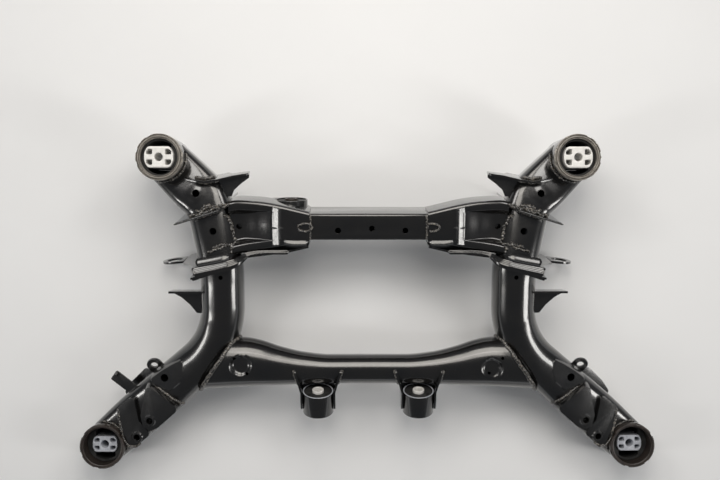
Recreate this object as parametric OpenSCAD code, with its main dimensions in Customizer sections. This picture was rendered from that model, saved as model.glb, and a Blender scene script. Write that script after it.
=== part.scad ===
// Rear axle subframe of a car: two bent hollow side members, a front cross tube and a
// pressed rear crossmember, carried on four rubber body mounts.
// X runs across the car, Y to the rear and Z up. The origin lies midway between the
// four body mounts, on the plane that the part rests on. Sizes are millimetres.

/* [Body mounts] */
// Distance between the front body mounts across the car
front_track = 1030; // [980:2:1080]
// Distance between the rear body mounts across the car
rear_track = 768; // [730:2:810]
// Distance from the front mounts to the rear mounts
mount_base = 554; // [530:2:580]
// Outer radius of a mount eye
eye_r = 42; // [39:0.5:45]
// Wall of a mount eye
eye_wall = 3.4; // [2.5:0.1:4.5]
// Outer radius of the collar on a body mount
collar_r = 43; // [42:0.5:47]
// Height of the rear mount's upper face
rear_top = 190; // [184:1:200]
// Height of the front mount's collar
front_top = 103; // [98:1:112]
// Depth of the front core below its collar
core_recess = 23; // [10:1:30]
// Length of a rear core
rear_core_len = 92; // [80:1:110]
// Radius of the bolt hole through a body mount
body_bolt_r = 7.5; // [6:0.25:9]

/* [Side members] */
// Distance between the side members' centre lines at the waist
waist = 554; // [520:2:580]
// Width of the side tube at the waist
tube_w = 82; // [74:1:90]
// Wall of the side tube
tube_wall = 3; // [2:0.25:4]
// Centre line radius of the bend into the front arm
arm_bend_r = 150; // [130:5:180]
// Centre line radius of the bend into the rear neck
neck_bend_r = 80; // [70:5:100]
// Height of the tube's centre at the waist
waist_z = 128; // [122:1:134]

/* [Front cross tube] */
// Y of the cross tube's centre
cross_y = -125; // [-132:1:-118]
// Width of the cross tube at its middle, along Y
cross_w = 56; // [50:1:62]
// Height of the cross tube at its middle
cross_h = 58; // [50:1:62]
// Length of the flared end where it meets the side tube
flare_w = 120; // [106:1:128]
// Height of the cross tube's centre
cross_z = 104; // [100:1:108]

/* [Rear crossmember] */
// Y of the rear box's centre
box_y = 156; // [150:1:160]
// Height of the rear box's centre
box_z = 120.6; // [116:0.2:124]
// Lean of the rear crossmember
box_lean = 9; // [6:0.5:11]
// Width of the rear box
box_w = 50; // [46:1:56]
// Depth of the rear box
box_d = 95; // [88:1:100]
// Length of the rear box
box_len = 270; // [250:2:290]
// Sheet of the pressed parts
sheet = 3.5; // [2.5:0.25:4.5]
// Height of the arm plates' upper edge
plate_top = 183; // [178:1:190]
// Radius of the arm bolt holes
arm_bolt_r = 6.25; // [5:0.25:8]

/* [Differential mounts] */
// Sideways distance of a front differential eye from the middle
diff_x = 96; // [88:1:104]
// Outer radius of a front differential eye
diff_r = 29.5; // [27:0.5:31]
// Length of a front differential eye
diff_len = 44; // [38:1:50]
// Rise of the front differential bolts towards the rear
diff_rise = 19; // [14:1:24]
// Radius of the differential bolt holes
diff_bolt_r = 6.25; // [5:0.25:7]
// Sideways distance of the rear differential eye, to the left
rear_eye_x = 147; // [140:1:152]
// Outer radius of the rear differential eye
rear_eye_r = 31; // [28:0.5:33]

/* [Fits] */
// Clearance between two parts that are welded or pressed together
fit = 0.25; // [0.1:0.05:0.4]

/* [Hidden] */
$fn = 48;
eps = 0.01;
paint = [0.06, 0.06, 0.065];
rubber_black = [0.03, 0.03, 0.03];
alloy = [0.75, 0.75, 0.74];
dull_alloy = [0.6, 0.6, 0.6];
collar_grey = [0.33, 0.3, 0.26];
collar_brown = [0.09, 0.075, 0.07];
// Points round a tube section
ring_n = 24;
front_eye = [front_track / 2, -mount_base / 2];
rear_eye = [rear_track / 2, mount_base / 2];
front_eye_z = [12, front_top - 15];
rear_eye_z = [86, rear_top - 12];
sleeve_r = eye_r - eye_wall - fit;
sleeve_in = sleeve_r - 2.6;
half_waist = waist / 2;

function unit(v) = v / norm(v);
function ease(t) = t * t * (3 - 2 * t);
// Rise between two stations of a table, and the slope at one of them
function rise(table, i) = (table[i + 1][1] - table[i][1]) / (table[i + 1][0] - table[i][0]);
function slope(table, i) =
    i == 0 ? rise(table, 0) : i == len(table) - 1 ? rise(table, i - 1)
    : let (a = rise(table, i - 1), b = rise(table, i)) a * b <= 0 ? 0 : 2 * a * b / (a + b);
// Smooth value at t in a table of [station, value], without flat spots or overshoot
function along(t, table, i = 0) =
    t <= table[0][0] ? table[0][1]
    : i >= len(table) - 1 ? table[i][1]
    : t > table[i + 1][0] ? along(t, table, i + 1)
    : let (h = table[i + 1][0] - table[i][0], u = (t - table[i][0]) / h)
        table[i][1] * (1 - ease(u)) + table[i + 1][1] * ease(u)
        + h * u * (1 - u) * (slope(table, i) * (1 - u) - slope(table, i + 1) * u);

// Tangent length of a rounded corner q between p and s
function tangent(p, q, s, r) = r / tan(acos(unit(p - q) * unit(s - q)) / 2);
// Points of the rounded corner, with n steps
function corner(p, q, s, r, n) =
    let (u = unit(p - q), v = unit(s - q), half = acos(u * v) / 2,
         c = q + unit(u + v) * (r / sin(half)),
         first = q + u * tangent(p, q, s, r) - c,
         turn = (u.x * v.y - u.y * v.x) > 0 ? -1 : 1,
         a0 = atan2(first.y, first.x))
    [for (i = [0:n]) c + r * [cos(a0 + turn * (180 - 2 * half) * i / n),
                              sin(a0 + turn * (180 - 2 * half) * i / n)]];
// Points between two ends, both left out
function between(p, q, n) = [for (i = [1:n - 1]) p + (q - p) * i / n];

// Side member in plan: front mount, arm bend, waist, neck bend, rear mount
arm_corner = [half_waist, -68];
waist_corner = [half_waist, 72];
neck_corner = [half_waist + 21, 193];
arm_dir = unit(arm_corner - front_eye);
neck_dir = unit(neck_corner - rear_eye);
side_start = front_eye + 6 * arm_dir;
side_end = rear_eye + 6 * neck_dir;
arm_arc = corner(front_eye, arm_corner, waist_corner, arm_bend_r, 10);
waist_arc = corner(arm_corner, waist_corner, neck_corner, 260, 3);
neck_arc = corner(waist_corner, neck_corner, rear_eye, neck_bend_r, 5);
side_path = concat(
    [side_start], between(side_start, arm_arc[0], 6), arm_arc,
    between(arm_arc[10], waist_arc[0], 2), waist_arc,
    between(waist_arc[3], neck_arc[0], 3), neck_arc,
    between(neck_arc[5], side_end, 4), [side_end]);
side_n = len(side_path);
function run_to(i) = i == 0 ? 0 : run_to(i - 1) + norm(side_path[i] - side_path[i - 1]);
side_len = run_to(side_n - 1);
arm_len = norm(arm_arc[0] - side_start);
arm_f = arm_len / side_len;

// Section along the side member, by share of its length
arm_z0 = 45;
arm_z1 = 95;
half_w_table = [[0, eye_r + 1.1], [0.12, tube_w / 2 + 5], [arm_f, tube_w / 2 + 1],
    [0.5, tube_w / 2], [0.7, tube_w / 2], [0.8, tube_w / 2 + 2], [0.88, tube_w / 2 + 5], [1, eye_r + 1.1]];
half_h_table = [[0, 31], [0.2, 36], [0.46, tube_w / 2], [0.7, tube_w / 2], [0.86, 38], [1, 30]];
power_table = [[0, 4.6], [0.2, 3.6], [0.44, 2.3], [0.6, 2.3], [0.7, 3], [0.84, 3.6], [0.92, 5], [1, 5.4]];
height_table = [[0, arm_z0], [arm_f, arm_z1], [0.5, 114], [0.66, waist_z], [0.84, waist_z], [1, 118]];
function side_f(i) = run_to(i) / side_len;

// One point of a rounded-square section
function squircle(a, b, p, q) = [a * sign(cos(q)) * pow(abs(cos(q)), 2 / p),
                                 b * sign(sin(q)) * pow(abs(sin(q)), 2 / p)];
function side_ring(i, grow) =
    let (f = side_f(i), c = side_path[i],
         t = unit(side_path[min(i + 1, side_n - 1)] - side_path[max(i - 1, 0)]),
         a = along(f, half_w_table) + grow, b = along(f, half_h_table) + grow,
         p = along(f, power_table), z = lookup(f, height_table))
    [for (j = [0:ring_n - 1]) let (s = squircle(a, b, p, 360 * (j + 0.5) / ring_n))
        [c.x + t.y * s.x, c.y - t.x * s.x, z + s.y]];

// Triangles between rings of n points, ring k starting at n * k
function skin(rings, n, base, flip) = [for (i = [0:rings - 2], j = [0:n - 1], h = [0:1])
    let (a = base + i * n + j, b = base + i * n + (j + 1) % n, t = h == 0 ? [a, b, b + n] : [a, b + n, a + n])
    flip ? [t[2], t[1], t[0]] : t];
// A closed solid through rings
module lofted(rings) {
    n = len(rings[0]);
    k = len(rings);
    polyhedron([for (r = rings) each r], concat(skin(k, n, 0, false),
        [[for (j = [n - 1:-1:0]) j], [for (j = [0:n - 1]) (k - 1) * n + j]]), convexity = 6);
}
// A pipe between outer rings and inner rings, open at both ends
module pipe(outer, inner) {
    n = len(outer[0]);
    k = len(outer);
    m = n * k;
    e = (k - 1) * n;
    polyhedron([for (r = concat(outer, inner)) each r], concat(
        skin(k, n, 0, false), skin(k, n, m, true),
        [for (j = [0:n - 1], h = [0:1]) let (l = (j + 1) % n) h == 0 ? [l, j, m + j] : [l, m + j, m + l]],
        [for (j = [0:n - 1], h = [0:1]) let (l = (j + 1) % n)
            h == 0 ? [e + j, e + l, m + e + l] : [e + j, m + e + l, m + e + j]]), convexity = 10);
}
// A folded sheet between the lines of its outer face and those of its inner face
module folded(outer, inner) {
    n = len(outer[0]);
    k = len(outer);
    m = n * k;
    function quad(a, b, c, d) = [[a, b, c], [a, c, d]];
    polyhedron([for (r = concat(outer, inner)) each r], [
        for (i = [0:k - 2], j = [0:n - 2]) let (a = i * n + j) each quad(a, a + 1, a + 1 + n, a + n),
        for (i = [0:k - 2], j = [0:n - 2]) let (a = m + i * n + j) each quad(a + 1, a, a + n, a + 1 + n),
        for (i = [0:k - 2]) let (a = i * n) each quad(m + a, a, a + n, m + a + n),
        for (i = [0:k - 2]) let (a = i * n + n - 1) each quad(a, m + a, m + a + n, a + n),
        for (j = [0:n - 2]) each quad(j + 1, j, m + j, m + j + 1),
        for (j = [0:n - 2]) let (a = (k - 1) * n + j) each quad(a, a + 1, m + a + 1, m + a)], convexity = 8);
}

// The filled side member between two Y stations, for fitting other parts to it
module side_fill(y0, y1, grow = fit) {
    picked = [for (i = [0:side_n - 1]) if (side_path[i].y > y0 - 30 && side_path[i].y < y1 + 30) i];
    lofted([for (i = picked) side_ring(i, grow)]);
}

module both() { children(); mirror([1, 0, 0]) children(); }
module on_right(right) { if (right) children(); else mirror([1, 0, 0]) children(); }

// Front arm's own frame: x from the mount eye up the arm, y to the inner side, z off its top
arm_slope = atan((arm_z1 - arm_z0) / arm_len);
module arm_frame() {
    translate([side_start.x, side_start.y, arm_z0])
        multmatrix([[arm_dir.x, -arm_dir.y, 0, 0], [arm_dir.y, arm_dir.x, 0, 0], [0, 0, 1, 0]])
            rotate([0, -arm_slope, 0]) children();
}
module box_frame() { translate([0, box_y, box_z]) rotate([box_lean, 0, 0]) children(); }
module slab(z0, z1) { translate([-800, -500, z0]) cube([1600, 1000, z1 - z0]); }

// A bent strip of sheet seen from above, through the points of a list
module strip(pts, w) {
    for (i = [0:len(pts) - 2]) {
        d = unit(pts[i + 1] - pts[i]);
        n = [-d.y, d.x] * w / 2;
        polygon([pts[i] + n, pts[i] - n, pts[i + 1] - n, pts[i + 1] + n]);
        if (i > 0) translate(pts[i]) circle(r = w / 2, $fn = 24);
    }
}

// Side members
module eye_seat() { linear_extrude(300) offset(delta = fit) circle(r = eye_r, $fn = 96); }
// Holes in the tube's upper face as [x, y, radius], the first one in a pressed boss
side_holes = [[half_waist + 43.5, 211.4, 7], [half_waist + 11.4, 140.9, 6.5], [half_waist - 2, 54.5, 4]];
boss_r = [14.5, 9.5];
// Height of the tube's wall at the boss, and how far the boss rises from there
boss_z = waist_z + 33.4;
boss_rise = 6;
module side_member(right) on_right(right) {
    color(paint) difference() {
        union() {
            pipe([for (i = [0:side_n - 1]) side_ring(i, 0)],
                 [for (i = [0:side_n - 1]) side_ring(i, -tube_wall)]);
            translate([side_holes[0].x, side_holes[0].y, boss_z])
                cylinder(r1 = boss_r[0], r2 = boss_r[1], h = boss_rise);
        }
        for (e = [front_eye, rear_eye]) translate([e.x, e.y, -50]) eye_seat();
        for (h = side_holes) translate([h.x, h.y, waist_z]) cylinder(r = h.z, h = 100);
        arm_frame() translate([191, -20, 0]) cylinder(r = 7.5, h = 100);
    }
}
module side_member_left() side_member(false);
module side_member_right() side_member(true);

// Front cross tube: stations across the car as [x, y shift, half width, half height, turn]
cross_stations = [
    [0, 0, cross_w / 2, cross_h / 2, 0],
    [0.25, 0, cross_w / 2, cross_h / 2, 0],
    [0.43, 2, cross_w / 2 + 3, cross_h / 2 + 0.5, 3],
    [0.6, 6.5, cross_w / 2 + 9.5, cross_h / 2 + 3, 8],
    [0.76, 12, flare_w / 2 - 14, cross_h / 2 + 6, 16],
    [0.88, 13.5, flare_w / 2 - 7, cross_h / 2 + 9, 25],
    [1, 13, flare_w / 2, cross_h / 2 + 11, 34]];
cross_reach = half_waist + 9;
function cross_table(k) = [for (s = cross_stations) [s[0], s[k]]];
function cross_ring(t, grow) =
    let (f = abs(t), side = t < 0 ? -1 : 1,
         a = along(f, cross_table(2)) + grow, b = along(f, cross_table(3)) + grow,
         turn = side * along(f, cross_table(4)),
         c = [t * cross_reach, cross_y + along(f, cross_table(1)), cross_z + 8 * ease(f)])
    [for (j = [0:ring_n - 1]) let (s = squircle(a, b, 2.2, 360 * (j + 0.5) / ring_n))
        [c.x + sin(turn) * s.x, c.y - cos(turn) * s.x, c.z + s.y]];
cross_ts = [for (i = [-16:16]) i / 16];
module cross_fill(x0, x1, grow = fit) {
    lofted([for (t = cross_ts) let (x = t * cross_reach) if (x > x0 - 18 && x < x1 + 18) cross_ring(t, grow)]);
}
// Round pads pressed into the tube near its ends as [x, y], with two small holes beside each
dimples = [[-241, -113], [234, -119]];
dimple_r = [20, 14];
dimple_d = 5;
crown_z = cross_z + cross_h / 2 + 13;
module dimple_cone(d, grow) {
    translate([d.x, d.y, crown_z - dimple_d]) cylinder(r1 = dimple_r[1] + grow,
        r2 = 2 * dimple_r[0] - dimple_r[1] + grow, h = 2 * dimple_d);
}
module front_cross_tube() {
    color(paint) difference() {
        union() {
            pipe([for (t = cross_ts) cross_ring(t, 0)], [for (t = cross_ts) cross_ring(t, -tube_wall)]);
            for (d = dimples) intersection() {
                translate([0, 0, -tube_wall]) dimple_cone(d, tube_wall);
                cross_fill(d.x - dimple_r[0], d.x + dimple_r[0], -tube_wall / 2);
            }
        }
        for (d = dimples) dimple_cone(d, 0);
        both() side_fill(-170, -10);
        both() for (p = [[229, -128], [253, -99]]) translate([p.x, p.y, cross_z]) cylinder(r = 3, h = 100);
    }
}

// Rear crossmember: centre box with end shells that run out to the arm plates
module rear_box() {
    color(paint) box_frame() difference() {
        rotate([90, 0, 90]) translate([0, 0, -box_len / 2]) linear_extrude(box_len) difference() {
            offset(r = 5, $fn = 24) square([box_w - 10, box_d - 10], center = true);
            offset(r = 2.5, $fn = 24) square([box_w - 2 * sheet - 5, box_d - 2 * sheet - 5], center = true);
        }
        for (x = [-57, 6, 68]) translate([x, x == 6 ? -2.8 : -6.5, 0]) cylinder(r = 5.5, h = box_d);
        rear_eye_axis() translate([0, 0, -22]) cylinder(r = rear_eye_r + fit, h = 100);
    }
}
shell_in = 110;
shell_v = box_w / 2 + fit + sheet / 2;
shell_top = box_d / 2 + fit + sheet;
// Outer bend of the shell, width of its rims and depth of its flanges
bend_r = 7;
rim_w = 8;
flange_d = 70;
// Where the shell ends on the side tube and the arm plates begin
seam = half_waist - 18;
// Lug round the rear differential eye, and how far the eye sits below the box's centre
lug_r = rear_eye_x - shell_in;
rear_eye_drop = 14;
top_line = [[shell_in, shell_v], [half_waist - 88, 44.6], [half_waist - 66, 47], [half_waist - 34, 48.5],
    [seam, 45.4], [half_waist - 2, 33.3], [half_waist + 80, 7.7]];
// The arm plates run parallel, so that one bolt passes square through both
arm_run = unit(top_line[6] - top_line[5]);
low_line = [[shell_in, -shell_v], [rear_eye_x, -33.5], [half_waist - 45, -47], [seam, -53.5],
    [seam, -53.5] + arm_run * 108];
arm_yaw = atan2(arm_run.y, arm_run.x);
arm_bolt = [half_waist + 38, 22, -82];
// The arm bolt's axis, square to both plates
module arm_bolt_axis() translate(arm_bolt) rotate([0, 0, arm_yaw]) rotate([90, 0, 0]) children();

// Shell section across the car: flange, bend, rim, and a web that sinks towards the side tube
sink_table = [[shell_in, 0], [half_waist - 104, 0], [half_waist - 70, 7], [half_waist - 40, 12],
    [half_waist, 12]];
function shell_half(v, side, edge, sink, t) = concat([[v - side * t, edge]],
    [for (a = [0:30:90]) let (r = bend_r - t)
        [v - side * (bend_r - r * cos(a)), shell_top - bend_r + r * sin(a)]],
    [[v - side * (bend_r + rim_w), shell_top - t],
     [v - side * (bend_r + rim_w + sink + 1), shell_top - sink - t]]);
function back(list) = [for (i = [len(list) - 1:-1:0]) list[i]];
// Lower edge of the rear flange, with the lug where there is one
function rear_edge(x, lug) = let (d = x - rear_eye_x, low = shell_top - flange_d)
    lug && abs(d) < lug_r ? min(low, -rear_eye_drop - sqrt(lug_r * lug_r - d * d)) : low;
function shell_line(x, lug, t) =
    let (hi = lookup(x, top_line) + sheet / 2, lo = lookup(x, low_line) - sheet / 2,
         sink = along(x, sink_table))
    [for (q = concat(shell_half(lo, -1, shell_top - flange_d, sink, t),
                     back(shell_half(hi, 1, rear_edge(x, lug), sink, t)))) [x, q.x, q.y]];
lug_xs = [for (a = [180:-22.5:0]) rear_eye_x + lug_r * cos(a)];
shell_xs = concat(lug_xs, [for (d = [88, 66, 45, 34]) if (half_waist - d > lug_xs[8] + 1) half_waist - d],
    [seam - fit / 2]);
// Pressed bead, weld slot and hole in the web
bead_r = 4;
bead_x = half_waist - 109;
slot_x = shell_in + 8;
web_hole_x = half_waist - 36;
module rear_shell(right) {
    color(paint) on_right(right) difference() {
        box_frame() difference() {
            union() {
                folded([for (x = shell_xs) shell_line(x, !right, 0)],
                       [for (x = shell_xs) shell_line(x, !right, sheet)]);
                intersection() {
                    translate([bead_x, 34, shell_top - 1]) rotate([90, 0, 0]) cylinder(r = bead_r, h = 62);
                    translate([shell_in, -200, shell_top - sheet / 2]) cube([400, 400, 20]);
                }
            }
            linear_extrude(100) hull() for (x = [-6, 6]) translate([slot_x + x, 0]) circle(r = 5);
            translate([web_hole_x, 0, 0]) cylinder(r = 5.5, h = 100);
            if (!right) mirror([1, 0, 0]) rear_eye_axis() translate([0, 0, -22])
                cylinder(r = rear_eye_r + fit, h = 100);
        }
        side_fill(60, 215);
    }
}
module rear_shell_left() rear_shell(false);
module rear_shell_right() rear_shell(true);

// Arm plates astride the side tube, with the arm bolt through both
module upright() { rotate([90, 0, 0]) translate([0, 0, -300]) linear_extrude(600) children(); }
module plate_outline(reach, low_out) {
    offset(r = 6, $fn = 24) offset(r = -6) polygon([
        [seam + fit / 2, -95], [half_waist + 4, -150], [half_waist + 64, -150], [low_out, -100],
        [low_out, -30], [reach, 40], [reach, 100], [half_waist - 2, 100],
        [seam + fit / 2, shell_top - bend_r]]);
}
// Place of a point of the crossmember's plan at height z, and of the front arm plate's line at x
function at_height(p, z) = [p.x, box_y + p.y / cos(box_lean) - (z - box_z) * tan(box_lean)];
function on_plate(x) = low_line[3] + arm_run * ((x - seam) / arm_run.x);
// A rolled lip along the top of a plate, from the middle of its sheet towards the front
module rolled_lip(p, q, w, z) {
    translate([0, 0, z - sheet]) linear_extrude(sheet) offset(r = 2.5, $fn = 24) offset(delta = -2.5)
        strip([for (e = [p, q]) at_height(e, z) - [0, w / 2]], w);
}
module arm_plate(right, line, reach, low_out, lip_w = 0) {
    color(paint) on_right(right) difference() {
        union() {
            intersection() {
                box_frame() intersection() {
                    translate([0, 0, -150]) linear_extrude(260) strip(line, sheet);
                    upright() plate_outline(reach, low_out);
                }
                slab(0, plate_top);
            }
            if (lip_w > 0) rolled_lip(on_plate(half_waist), on_plate(reach - 2), lip_w, plate_top);
        }
        side_fill(60, 215);
        box_frame() arm_bolt_axis() cylinder(r = arm_bolt_r, h = 300, center = true);
    }
}
module rear_arm_plate(right) arm_plate(right, top_line, half_waist + 78, half_waist + 80);
module front_arm_plate(right) arm_plate(right, low_line, half_waist + 49, half_waist + 84, 7.5);
module rear_arm_plate_left() rear_arm_plate(false);
module rear_arm_plate_right() rear_arm_plate(true);
module front_arm_plate_left() front_arm_plate(false);
module front_arm_plate_right() front_arm_plate(true);

// Lower sheet under the shell, with the sweeping lip
lip_line = [[shell_in + 2, -shell_v - 10], [half_waist - 127, -46], [half_waist - 45, -56.5],
    [half_waist - 23, -69], [half_waist + 52, -93]];
lip_top = plate_top - 5;
function on_lip(share) = lip_line[3] + share * (lip_line[4] - lip_line[3]);
seat_line = [for (p = [low_line[0], low_line[1], low_line[2]]) p - [0, sheet + fit]];
module lower_sheet(right) {
    color(paint) on_right(right) difference() {
        union() {
            rolled_lip(on_lip(0.15), on_lip(0.96), 5, lip_top);
            intersection() {
                slab(0, lip_top);
                box_frame() union() {
                    intersection() {
                        translate([0, 0, -20]) linear_extrude(130) strip(lip_line, sheet);
                        upright() polygon([
                            [shell_in, 6], [half_waist - 40, 0], [half_waist + 20, -20],
                            [half_waist + 60, -20], [half_waist + 54, 110], [half_waist - 32, 110],
                            [half_waist - 52, shell_top],
                            [shell_in, shell_top]]);
                    }
                    translate([0, 0, -30]) linear_extrude(50) strip(seat_line, sheet);
                    translate([0, 0, 16]) linear_extrude(4) polygon(concat(seat_line,
                        [lip_line[2], lip_line[1], lip_line[0]]));
                }
            }
        }
        side_fill(20, 150);
    }
}
module lower_sheet_left() lower_sheet(false);
module lower_sheet_right() lower_sheet(true);

// Upper arm bracket on the neck
upper_line = [[half_waist - 55, 251], [half_waist - 27, 247], [half_waist + 4, 240],
    [half_waist + 26, 236.5], [half_waist + 64, 242]];
gusset_z = 150;
module upper_bracket(right) {
    color(paint) on_right(right) difference() {
        union() {
            translate([0, 236, 150]) rotate([10, 0, 0]) translate([0, -236, 0]) intersection() {
                translate([0, 0, -70]) linear_extrude(120) strip(upper_line, sheet);
                rotate([90, 0, 0]) translate([0, 0, -400]) linear_extrude(400)
                    offset(r = 5, $fn = 24) offset(r = -5) polygon([
                        [half_waist - 55, -8], [half_waist - 22, -10], [half_waist - 10, -50],
                        [half_waist + 60, -50], [half_waist + 64, 24], [half_waist + 40, 32],
                        [half_waist - 10, 32], [half_waist - 55, 26]]);
            }
            translate([0, 0, gusset_z]) linear_extrude(sheet) polygon([
                [half_waist - 54, 250], [half_waist - 54, 241], [half_waist - 39, 230], [half_waist - 26, 218],
                [half_waist - 21, 206], [half_waist + 8, 206], [half_waist + 8, 238], [half_waist - 25, 245]]);
        }
        side_fill(170, 270);
        translate([rear_eye.x, rear_eye.y, 0]) cylinder(r = collar_r + fit, h = 300);
    }
}
module upper_bracket_left() upper_bracket(false);
module upper_bracket_right() upper_bracket(true);

// Mount eyes
module eye(z) difference() {
    translate([0, 0, z[0]]) cylinder(r = eye_r, h = z[1] - z[0]);
    translate([0, 0, z[0] - 1]) cylinder(r = eye_r - eye_wall, h = z[1] - z[0] + 2);
}
module at_front(right) { translate([(right ? 1 : -1) * front_eye.x, front_eye.y, 0]) children(); }
module at_rear(right) { translate([(right ? 1 : -1) * rear_eye.x, rear_eye.y, 0]) children(); }
module front_eye_left() color(paint) at_front(false) eye(front_eye_z);
module front_eye_right() color(paint) at_front(true) eye(front_eye_z);
module rear_eye_left() color(paint) at_rear(false) eye(rear_eye_z);
module rear_eye_right() color(paint) at_rear(true) eye(rear_eye_z);

// Body mount: sleeve with a notched collar, rubber, core with four pockets and a bore
module collar(z, top, inner_r, notches) {
    difference() {
        union() {
            translate([0, 0, z[0] + 4]) cylinder(r = sleeve_r, h = z[1] - z[0]);
            translate([0, 0, z[1] + fit]) cylinder(r = collar_r, h = top - z[1] - fit - 1.5);
            translate([0, 0, top - 1.5 - eps]) cylinder(r1 = collar_r, r2 = collar_r - 1.5, h = 1.5 + eps);
        }
        translate([0, 0, z[0]]) cylinder(r = sleeve_in, h = z[1] - z[0] + 2);
        translate([0, 0, z[0]]) cylinder(r = inner_r, h = 200);
        for (a = notches) rotate(a) translate([collar_r - 2.2, -2.5, z[1] + 4]) cube([6, 5, 40]);
    }
}
module core_plan(w, h) {
    offset(r = 5, $fn = 32) offset(r = -5) intersection() {
        square([w, h], center = true);
        circle(r = w / 2 * 1.02, $fn = 64);
    }
}
module core(w, h, z0, z1) {
    translate([0, 0, z0]) difference() {
        linear_extrude(z1 - z0) difference() {
            core_plan(w, h);
            for (sx = [-1, 1], sy = [-1, 1]) translate([sx * w * 0.305, sy * h * 0.27])
                offset(r = 3, $fn = 16) square([w * 0.23 - 6, h * 0.26 - 6], center = true);
        }
        translate([0, 0, -1]) cylinder(r = body_bolt_r, h = z1 - z0 + 2);
    }
}
// Rubber round the core, with crescents left open above and below it, closed by a thin floor
void_floor = 8;
module mount_rubber(w, h, z0, z1) {
    translate([0, 0, z0]) difference() {
        linear_extrude(z1 - z0) difference() {
            circle(r = sleeve_in - fit);
            offset(delta = fit) core_plan(w, h);
        }
        translate([0, 0, void_floor]) linear_extrude(z1 - z0) intersection() {
            circle(r = sleeve_in - 4.5);
            union() for (s = [-1, 1]) translate([0, s * (h / 2 + 20)]) square([w * 0.8, 46], center = true);
        }
    }
}
rear_notches = [8, 62, 118, 163, 197, 242, 298, 352];
front_notches = [30, 75, 150, 200, 255, 310];
rear_core_w = 53;
rear_core_h = 39;
front_core_w = 48;
front_core_h = 31;
rear_core_z = [rear_top - rear_core_len, rear_top];
front_core_z = [0, front_top - core_recess];
module rear_collar(right) color(collar_grey) at_rear(right)
    collar(rear_eye_z, rear_top, sleeve_in - 1.2, rear_notches);
module front_collar(right) color(collar_brown) at_front(right)
    collar(front_eye_z, front_top, sleeve_in + 0.6, front_notches);
module rear_collar_left() rear_collar(false);
module rear_collar_right() rear_collar(true);
module front_collar_left() front_collar(false);
module front_collar_right() front_collar(true);
module rear_rubber_left() color(rubber_black) at_rear(false)
    mount_rubber(rear_core_w, rear_core_h, rear_eye_z[0] + 6, rear_eye_z[1]);
module rear_rubber_right() color(rubber_black) at_rear(true)
    mount_rubber(rear_core_w, rear_core_h, rear_eye_z[0] + 6, rear_eye_z[1]);
module front_rubber_left() color(rubber_black) at_front(false)
    mount_rubber(front_core_w, front_core_h, front_eye_z[0] + 6, front_core_z[1] - 6);
module front_rubber_right() color(rubber_black) at_front(true)
    mount_rubber(front_core_w, front_core_h, front_eye_z[0] + 6, front_core_z[1] - 6);
module rear_core_left() color(alloy) at_rear(false)
    core(rear_core_w, rear_core_h, rear_core_z[0], rear_core_z[1]);
module rear_core_right() color(alloy) at_rear(true)
    core(rear_core_w, rear_core_h, rear_core_z[0], rear_core_z[1]);
module front_core_left() color(dull_alloy) at_front(false)
    core(front_core_w, front_core_h, front_core_z[0], front_core_z[1]);
module front_core_right() color(dull_alloy) at_front(true)
    core(front_core_w, front_core_h, front_core_z[0], front_core_z[1]);

// Front differential mounts on the cross tube
diff_mid = [diff_x, cross_y - 60, cross_z + 13];
diff_in = diff_r - 2.7;
diff_core_r = 11;
module diff_axis(right) {
    translate([(right ? 1 : -1) * diff_mid.x, diff_mid.y, diff_mid.z])
        rotate([diff_rise - 90, 0, 0]) children();
}
module diff_eye(right) color(paint) diff_axis(right) difference() {
    cylinder(r = diff_r, h = diff_len, center = true);
    cylinder(r = diff_in, h = diff_len + 2, center = true);
}
module diff_rubber(right) color(rubber_black) diff_axis(right) difference() {
    cylinder(r = diff_in - fit, h = diff_len - 4, center = true);
    cylinder(r = diff_core_r + fit, h = diff_len, center = true);
    for (a = [90, 210, 330]) rotate(a) translate([(diff_core_r + diff_in) / 2, 0, 0])
        for (q = [-14, 0, 14]) rotate(q) cylinder(r = 3.2, h = diff_len, center = true);
}
module diff_sleeve(right) color(alloy) diff_axis(right) difference() {
    cylinder(r = diff_core_r, h = diff_len + 6, center = true);
    cylinder(r = diff_bolt_r, h = diff_len + 8, center = true);
}
cheek = diff_r + fit + sheet / 2;
saddle_line = [[-cheek - 13, cross_y + 2], [-cheek - 4, cross_y - 28], [-cheek, cross_y - 42],
    [-cheek, diff_mid.y - 16]];
module diff_saddle(right) color(paint) difference() {
    translate([(right ? 1 : -1) * diff_x, 0, 0]) union() {
        both() intersection() {
            translate([0, 0, cross_z - 30]) linear_extrude(90) strip(saddle_line, sheet);
            rotate([90, 0, 90]) translate([0, 0, -80]) linear_extrude(160)
                offset(r = 5, $fn = 24) offset(r = -5) polygon([
                    [cross_y + 2, cross_z + 20], [cross_y + 2, cross_z + 39], [cross_y - 25, cross_z + 36],
                    [diff_mid.y + 4, diff_mid.z + 16], [diff_mid.y - 16, diff_mid.z + 4],
                    [diff_mid.y - 16, diff_mid.z - 34], [diff_mid.y + 12, diff_mid.z - 40],
                    [cross_y - 10, cross_z - 26]]);
        }
        // floor under the eye
        translate([-cheek, diff_mid.y - 14, diff_mid.z - 39]) cube([2 * cheek, 44, sheet]);
    }
    diff_axis(right) cylinder(r = diff_r + fit, h = 200, center = true);
    cross_fill((right ? 1 : -1) * diff_x - 60, (right ? 1 : -1) * diff_x + 60);
}
module diff_eye_left() diff_eye(false);
module diff_eye_right() diff_eye(true);
module diff_rubber_left() diff_rubber(false);
module diff_rubber_right() diff_rubber(true);
module diff_sleeve_left() diff_sleeve(false);
module diff_sleeve_right() diff_sleeve(true);
module diff_saddle_left() diff_saddle(false);
module diff_saddle_right() diff_saddle(true);

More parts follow.
